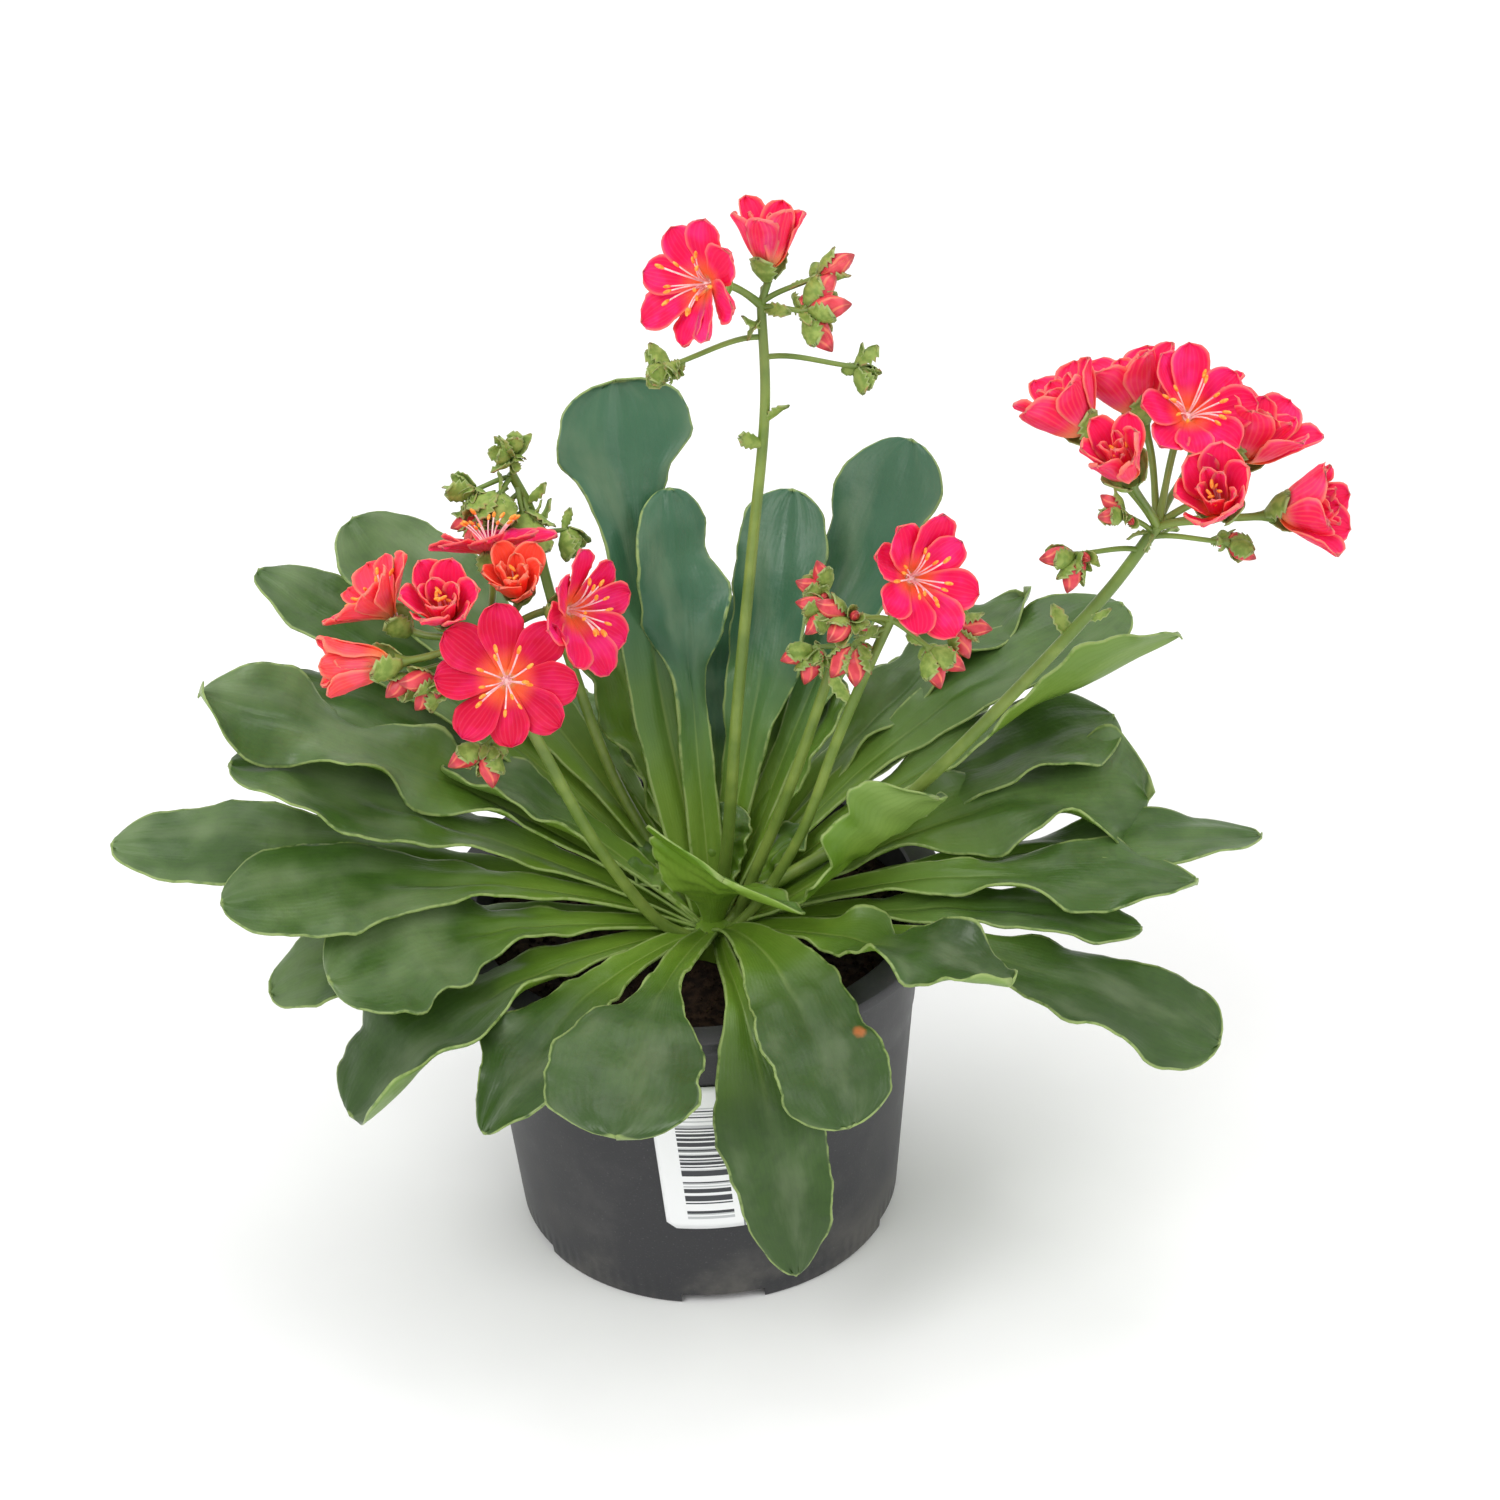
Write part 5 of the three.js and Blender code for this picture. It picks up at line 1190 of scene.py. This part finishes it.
class LEWISIA_OT_leaves(bpy.types.Operator):
    """Spoon-shaped leaves of the rosette, and the crown with its youngest leaves"""
    bl_idname = "lewisia.leaves"
    bl_label = "Leaves"

    def execute(self, context):
        look = context.scene.lewisia_leaves
        flesh = leaf_flesh(look)
        heart = []
        for index, (name, spec) in enumerate(LEAVES.items()):
            # the side of the plant sets a leaf's tone, and with it its painted shade or painted sheen
            tone = TONES.get(name.split("_")[1], 0.15 + 0.09 * (index % 4))
            grid, s, u, width = leaf_grid(name, {"notch": look.notch, **spec}, look.rows, look.columns)
            part = blade_from_grid(grid, s, u, width, LEAF["thick"], tone)
            if "heart" in name:
                part["uv"][:, 1] *= CROWN["young"]
                heart.append(part)
                continue
            piece = mesh_piece(name.replace("leaf", "blade", 1), part, flesh)
            if "spot" in name:
                row, column = int(BLEMISH["along"] * look.rows), int(BLEMISH["across"] * look.columns)
                centre = Vector(grid[row, column] * MM)
                near = [(v.co - centre).length / MM for v in piece.data.vertices]
                mark(piece.data, "blemish", [max(0.0, 1 - n / BLEMISH["radius"]) for n in near])
            belongs(piece, "leaf", name)
        at, reach, depth = CROWN["at"], CROWN["reach"] - LEAF["sunk"] / 2, CROWN["depth"] - LEAF["sunk"] * 0.8
        profile = [(0, CROWN["foot"]), (CROWN["root"], CROWN["foot"]), (CROWN["root"], SOIL["level"] + 1)]
        profile += [(reach * math.cos(t), at[2] + depth * math.sin(t))
                    for t in np.radians(np.linspace(-10, 86, 12))]
        dome = lathe([*profile, (0, at[2] + depth)], 88)
        points = dome["points"]
        angle = np.arctan2(points[:, 1], points[:, 0])
        ribs = 0.09 * (1 - np.abs(np.cos(CROWN["ribs"] / 2 * angle))) * smooth(points[:, 2], 79, 83)
        points[:, :2] = points[:, :2] * (1 - ribs[:, None]) + at[:2]
        crown = mesh_piece("crown_and_young_leaves", together([marked(dome, 0.3, 0.02), *heart]), flesh)
        belongs(crown, "crown", "crown")
        return {"FINISHED"}


class LEWISIA_OT_stems(bpy.types.Operator):
    """Flower stems with their shoots, bracts, buds and calyces"""
    bl_idname = "lewisia.stems"
    bl_label = "Flower stems"

    def execute(self, context):
        # stems are smooth, round and juicy, with a satin skin
        green = clouded("stem_flesh_satin", "#637C30", "#869A46", 11, 0.8, {"Roughness": 0.42})
        sepal, coral = sepal_green(), bud_coral()
        tube, setting = stalks_tree(), on_points_tree()
        models = {
            "bud": (bud_form(), coral),
            "wrap": (pair(toothed_blade(5.4, 6.2, 2.2, 0.8, 0.5), 0.0, 1.4), sepal),
            "calyx": (pair(toothed_blade(6.8, 7.2, 2.9, 1.8, 0.9), 0.4), sepal),
            "bract": (toothed_blade(1.0, 0.55, 0.22, 0.4, 0.05, thick=0.07), sepal),
        }
        models["bract"][0]["edge"] *= 9
        models = {kind: mesh_piece(kind + "_model", part, finish) for kind, (part, finish) in models.items()}
        for seed, (name, stem) in enumerate(STEMS.items()):
            draw = np.random.default_rng(40 + seed)
            route = through(stem["route"])
            lines = [(route, np.linspace(*stem["radii"], len(route)))]
            sets = {kind: [] for kind in models}
            for x, y, z, bearing, tilt, length in stem["bracts"]:
                sets["bract"].append(((x, y, z), heading(bearing, tilt), length))
            for start, end, grown, buds, *fresh in stem["shoots"]:
                start, end = np.array(start, float), np.array(end, float)
                way = (end - start) / np.linalg.norm(end - start)
                lines.append((arching(start, end, way), np.linspace(*SHOOT["radii"], 14)))
                small = [(bearing + draw.uniform(50, 110), tilt + draw.uniform(-40, 20), SHOOT["young"])
                         for bearing, tilt in buds]
                for bearing, tilt, share in [(*bud, 1.0) for bud in buds] + small:
                    axis, size = heading(bearing, tilt), grown * share
                    root = end - way * 0.4
                    top = root + axis * SHOOT["stalk"] * size
                    lines.append((np.linspace(root, top, 5), np.linspace(0.6, 0.8, 5)))
                    sets["wrap"].append((root, axis, min(size, 0.35 + 0.6 * size)))
                    if grown < SHOOT["empty"] or stem.get("spent") and not fresh:
                        sets["calyx"].append((root, axis, 0.95 * size))
                    else:
                        sets["bud"].append((root, axis, size * (0.95 if share == 1 else 0.75)))
                sets["bract"].append((end - way, heading(draw.uniform(0, 360), 20), 4.5))
            for bloom, spec in BLOOMS.items():
                if not bloom.startswith(stem["blooms"]):
                    continue
                axis = heading(*spec["face"])
                seat = np.array(spec["at"]) - axis * (1.2 + GAP)
                top = np.array(stem["route"][-1]) - (0, 0, 0.6)
                swell = np.interp(np.linspace(0, 1, 18), (0, 0.4, 0.86, 1), (1.0, 0.8, 0.9, 2.0))
                lines.append((arching(top, seat, axis, 18), swell))
                sets["calyx"].append((seat - axis * flower_form(spec["open"])["calyx"], axis, spec["size"]))
            source = stalk_curve(lines)
            pieces = [modelled("stalks", source, tube, {"Sides": 12, "Finish": green})]
            discard(source)
            for kind, rows in sets.items():
                if rows:
                    source = point_mesh(rows)
                    finish = models[kind].data.materials[0]
                    pieces.append(modelled(kind, source, setting, {
                        "Piece": models[kind], "Finish": finish, "Seed": seed}))
                    discard(source)
            stalk = smooth_all(joined(name.replace("stem", "flower_stalk", 1), pieces))
            belongs(stalk, "stem", name)
        for model in models.values():
            discard(model)
        return {"FINISHED"}


class LEWISIA_OT_blooms(bpy.types.Operator):
    """Open and half-open flowers, one piece each"""
    bl_idname = "lewisia.blooms"
    bl_label = "Blooms"

    def execute(self, context):
        look = context.scene.lewisia_flowers
        silk = petal_silk(look)
        # a filament is a thin translucent thread, and ripe pollen is a matt orange powder
        thread = clouded("stamen_filament_pale", "#F0B9C0", "#FBE3DC", 1.2, 1.0, {"Roughness": 0.5})
        pollen = clouded(
            "anther_pollen_powder", "#EE8420", "#FFB454", 0.7, 1.0, {"Roughness": 0.85}, bump=0.5)
        whorls = flower_tree()
        for seed, (name, spec) in enumerate(BLOOMS.items()):
            opening, size = spec["open"], spec["size"]
            form = flower_form(opening)
            tone = spec.get("tone", form["tone"])
            outer = mesh_piece("petal", petal_form(
                size, opening, form["hollow"], 10 + seed, tone, 1.05), silk)
            inner = mesh_piece("inner_petal", petal_form(
                size * 0.84, max(6, opening - 16), 0.5, 50 + seed, tone, 1.1), silk)
            facing = Vector((0, 0, 1)).rotation_difference(Vector(heading(*spec["face"]))).to_euler()
            flower = modelled(name.replace("bloom", "flower", 1), outer, whorls, {
                "Petals": look.petals - form["fewer"], "Inner Petal": inner, "Inner Petals": form["inner"],
                "Stamens": min(look.stamens, form["stamens"]), "Stamen Length": look.stamen_length * size,
                "Spread": form["spread"], "Sway": 0.08, "Seed": seed, "Facing": tuple(facing),
                "Place": tuple(c * MM for c in spec["at"]),
                "Petal Finish": silk, "Filament Finish": thread, "Anther Finish": pollen})
            discard(outer)
            discard(inner)
            belongs(smooth_all(flower), "petal", name)
        return {"FINISHED"}


class LEWISIA_OT_stage(bpy.types.Operator):
    """Pale floor, soft studio lights and the camera"""
    bl_idname = "lewisia.stage"
    bl_label = "Stage"

    def execute(self, context):
        scene = context.scene
        floor = bmesh.new()
        bmesh.ops.create_grid(floor, x_segments=8, y_segments=8, size=6.0)
        mesh = bpy.data.meshes.new("studio_floor")
        floor.to_mesh(mesh)
        floor.free()
        # uncoated white card, with no gloss
        mesh.materials.append(clouded("matt_studio_card", "#F4F4F4", "#F7F7F7", 90, 1.0, {
            "Roughness": 0.9, "Specular IOR Level": 0.1}, bump=0.02))
        linked("studio_floor", mesh)
        world = bpy.data.worlds.new("studio")
        world.use_nodes = True
        background = world.node_tree.nodes["Background"].inputs
        background[0].default_value, background[1].default_value = hex_colour("#FFFFFF"), 0.85
        scene.world = world
        for name, (place, size, watts) in LIGHTS.items():
            light = bpy.data.lights.new(name, "AREA")
            light.shape, light.size, light.energy = "DISK", size, watts
            lamp = linked(name, light)
            lamp.location = place
            lamp.rotation_euler = (Vector((0, 0, 0.12)) - Vector(place)).to_track_quat("-Z", "Y").to_euler()
        scene.view_settings.view_transform = "Standard"
        pitch, yaw, roll = (math.radians(CAMERA[key]) for key in ("pitch", "yaw", "roll"))
        forward = Vector((math.sin(yaw) * math.cos(pitch), math.cos(yaw) * math.cos(pitch), -math.sin(pitch)))
        right = Vector((math.cos(yaw), -math.sin(yaw), 0))
        up = right.cross(forward)
        level = right * math.cos(roll) + up * math.sin(roll)
        above = up * math.cos(roll) - right * math.sin(roll)
        data = bpy.data.cameras.new("camera")
        data.sensor_width, data.clip_start = CAMERA["sensor"], 0.01
        data.lens = CAMERA["sensor"] * CAMERA["focal"] / CAMERA["frame"]
        camera = linked("camera", data)
        turned = Matrix((level, above, -forward)).transposed().to_4x4()
        camera.matrix_world = Matrix.Translation(CAMERA["place"]) @ turned
        scene.camera = camera
        return {"FINISHED"}


OPERATORS = (LEWISIA_OT_pot, LEWISIA_OT_soil, LEWISIA_OT_label, LEWISIA_OT_leaves, LEWISIA_OT_stems,
             LEWISIA_OT_blooms, LEWISIA_OT_stage)
SETTINGS = {"lewisia_leaves": LewisiaLeaves, "lewisia_flowers": LewisiaFlowers, "lewisia_pot": LewisiaPot}


class LEWISIA_PT_panel(bpy.types.Panel):
    """The plant's settings and build steps"""
    bl_idname = "LEWISIA_PT_panel"
    bl_label = "Potted Siskiyou Lewisia"
    bl_space_type = "VIEW_3D"
    bl_region_type = "UI"
    bl_category = "Lewisia"

    def draw(self, context):
        for name, group in SETTINGS.items():
            box = self.layout.box()
            for key in group.__annotations__:
                box.prop(getattr(context.scene, name), key)
        for operator in OPERATORS:
            self.layout.operator(operator.bl_idname)


def register():
    for group in (*SETTINGS.values(), *OPERATORS, LEWISIA_PT_panel):
        bpy.utils.register_class(group)
    for name, group in SETTINGS.items():
        setattr(bpy.types.Scene, name, PointerProperty(type=group))


def unregister():
    for name in SETTINGS:
        delattr(bpy.types.Scene, name)
    for group in reversed((*SETTINGS.values(), *OPERATORS, LEWISIA_PT_panel)):
        bpy.utils.unregister_class(group)


def main():
    register()
    for operator in OPERATORS:
        family, action = operator.bl_idname.split(".")
        getattr(getattr(bpy.ops, family), action)()


if __name__ == "__main__":
    main()
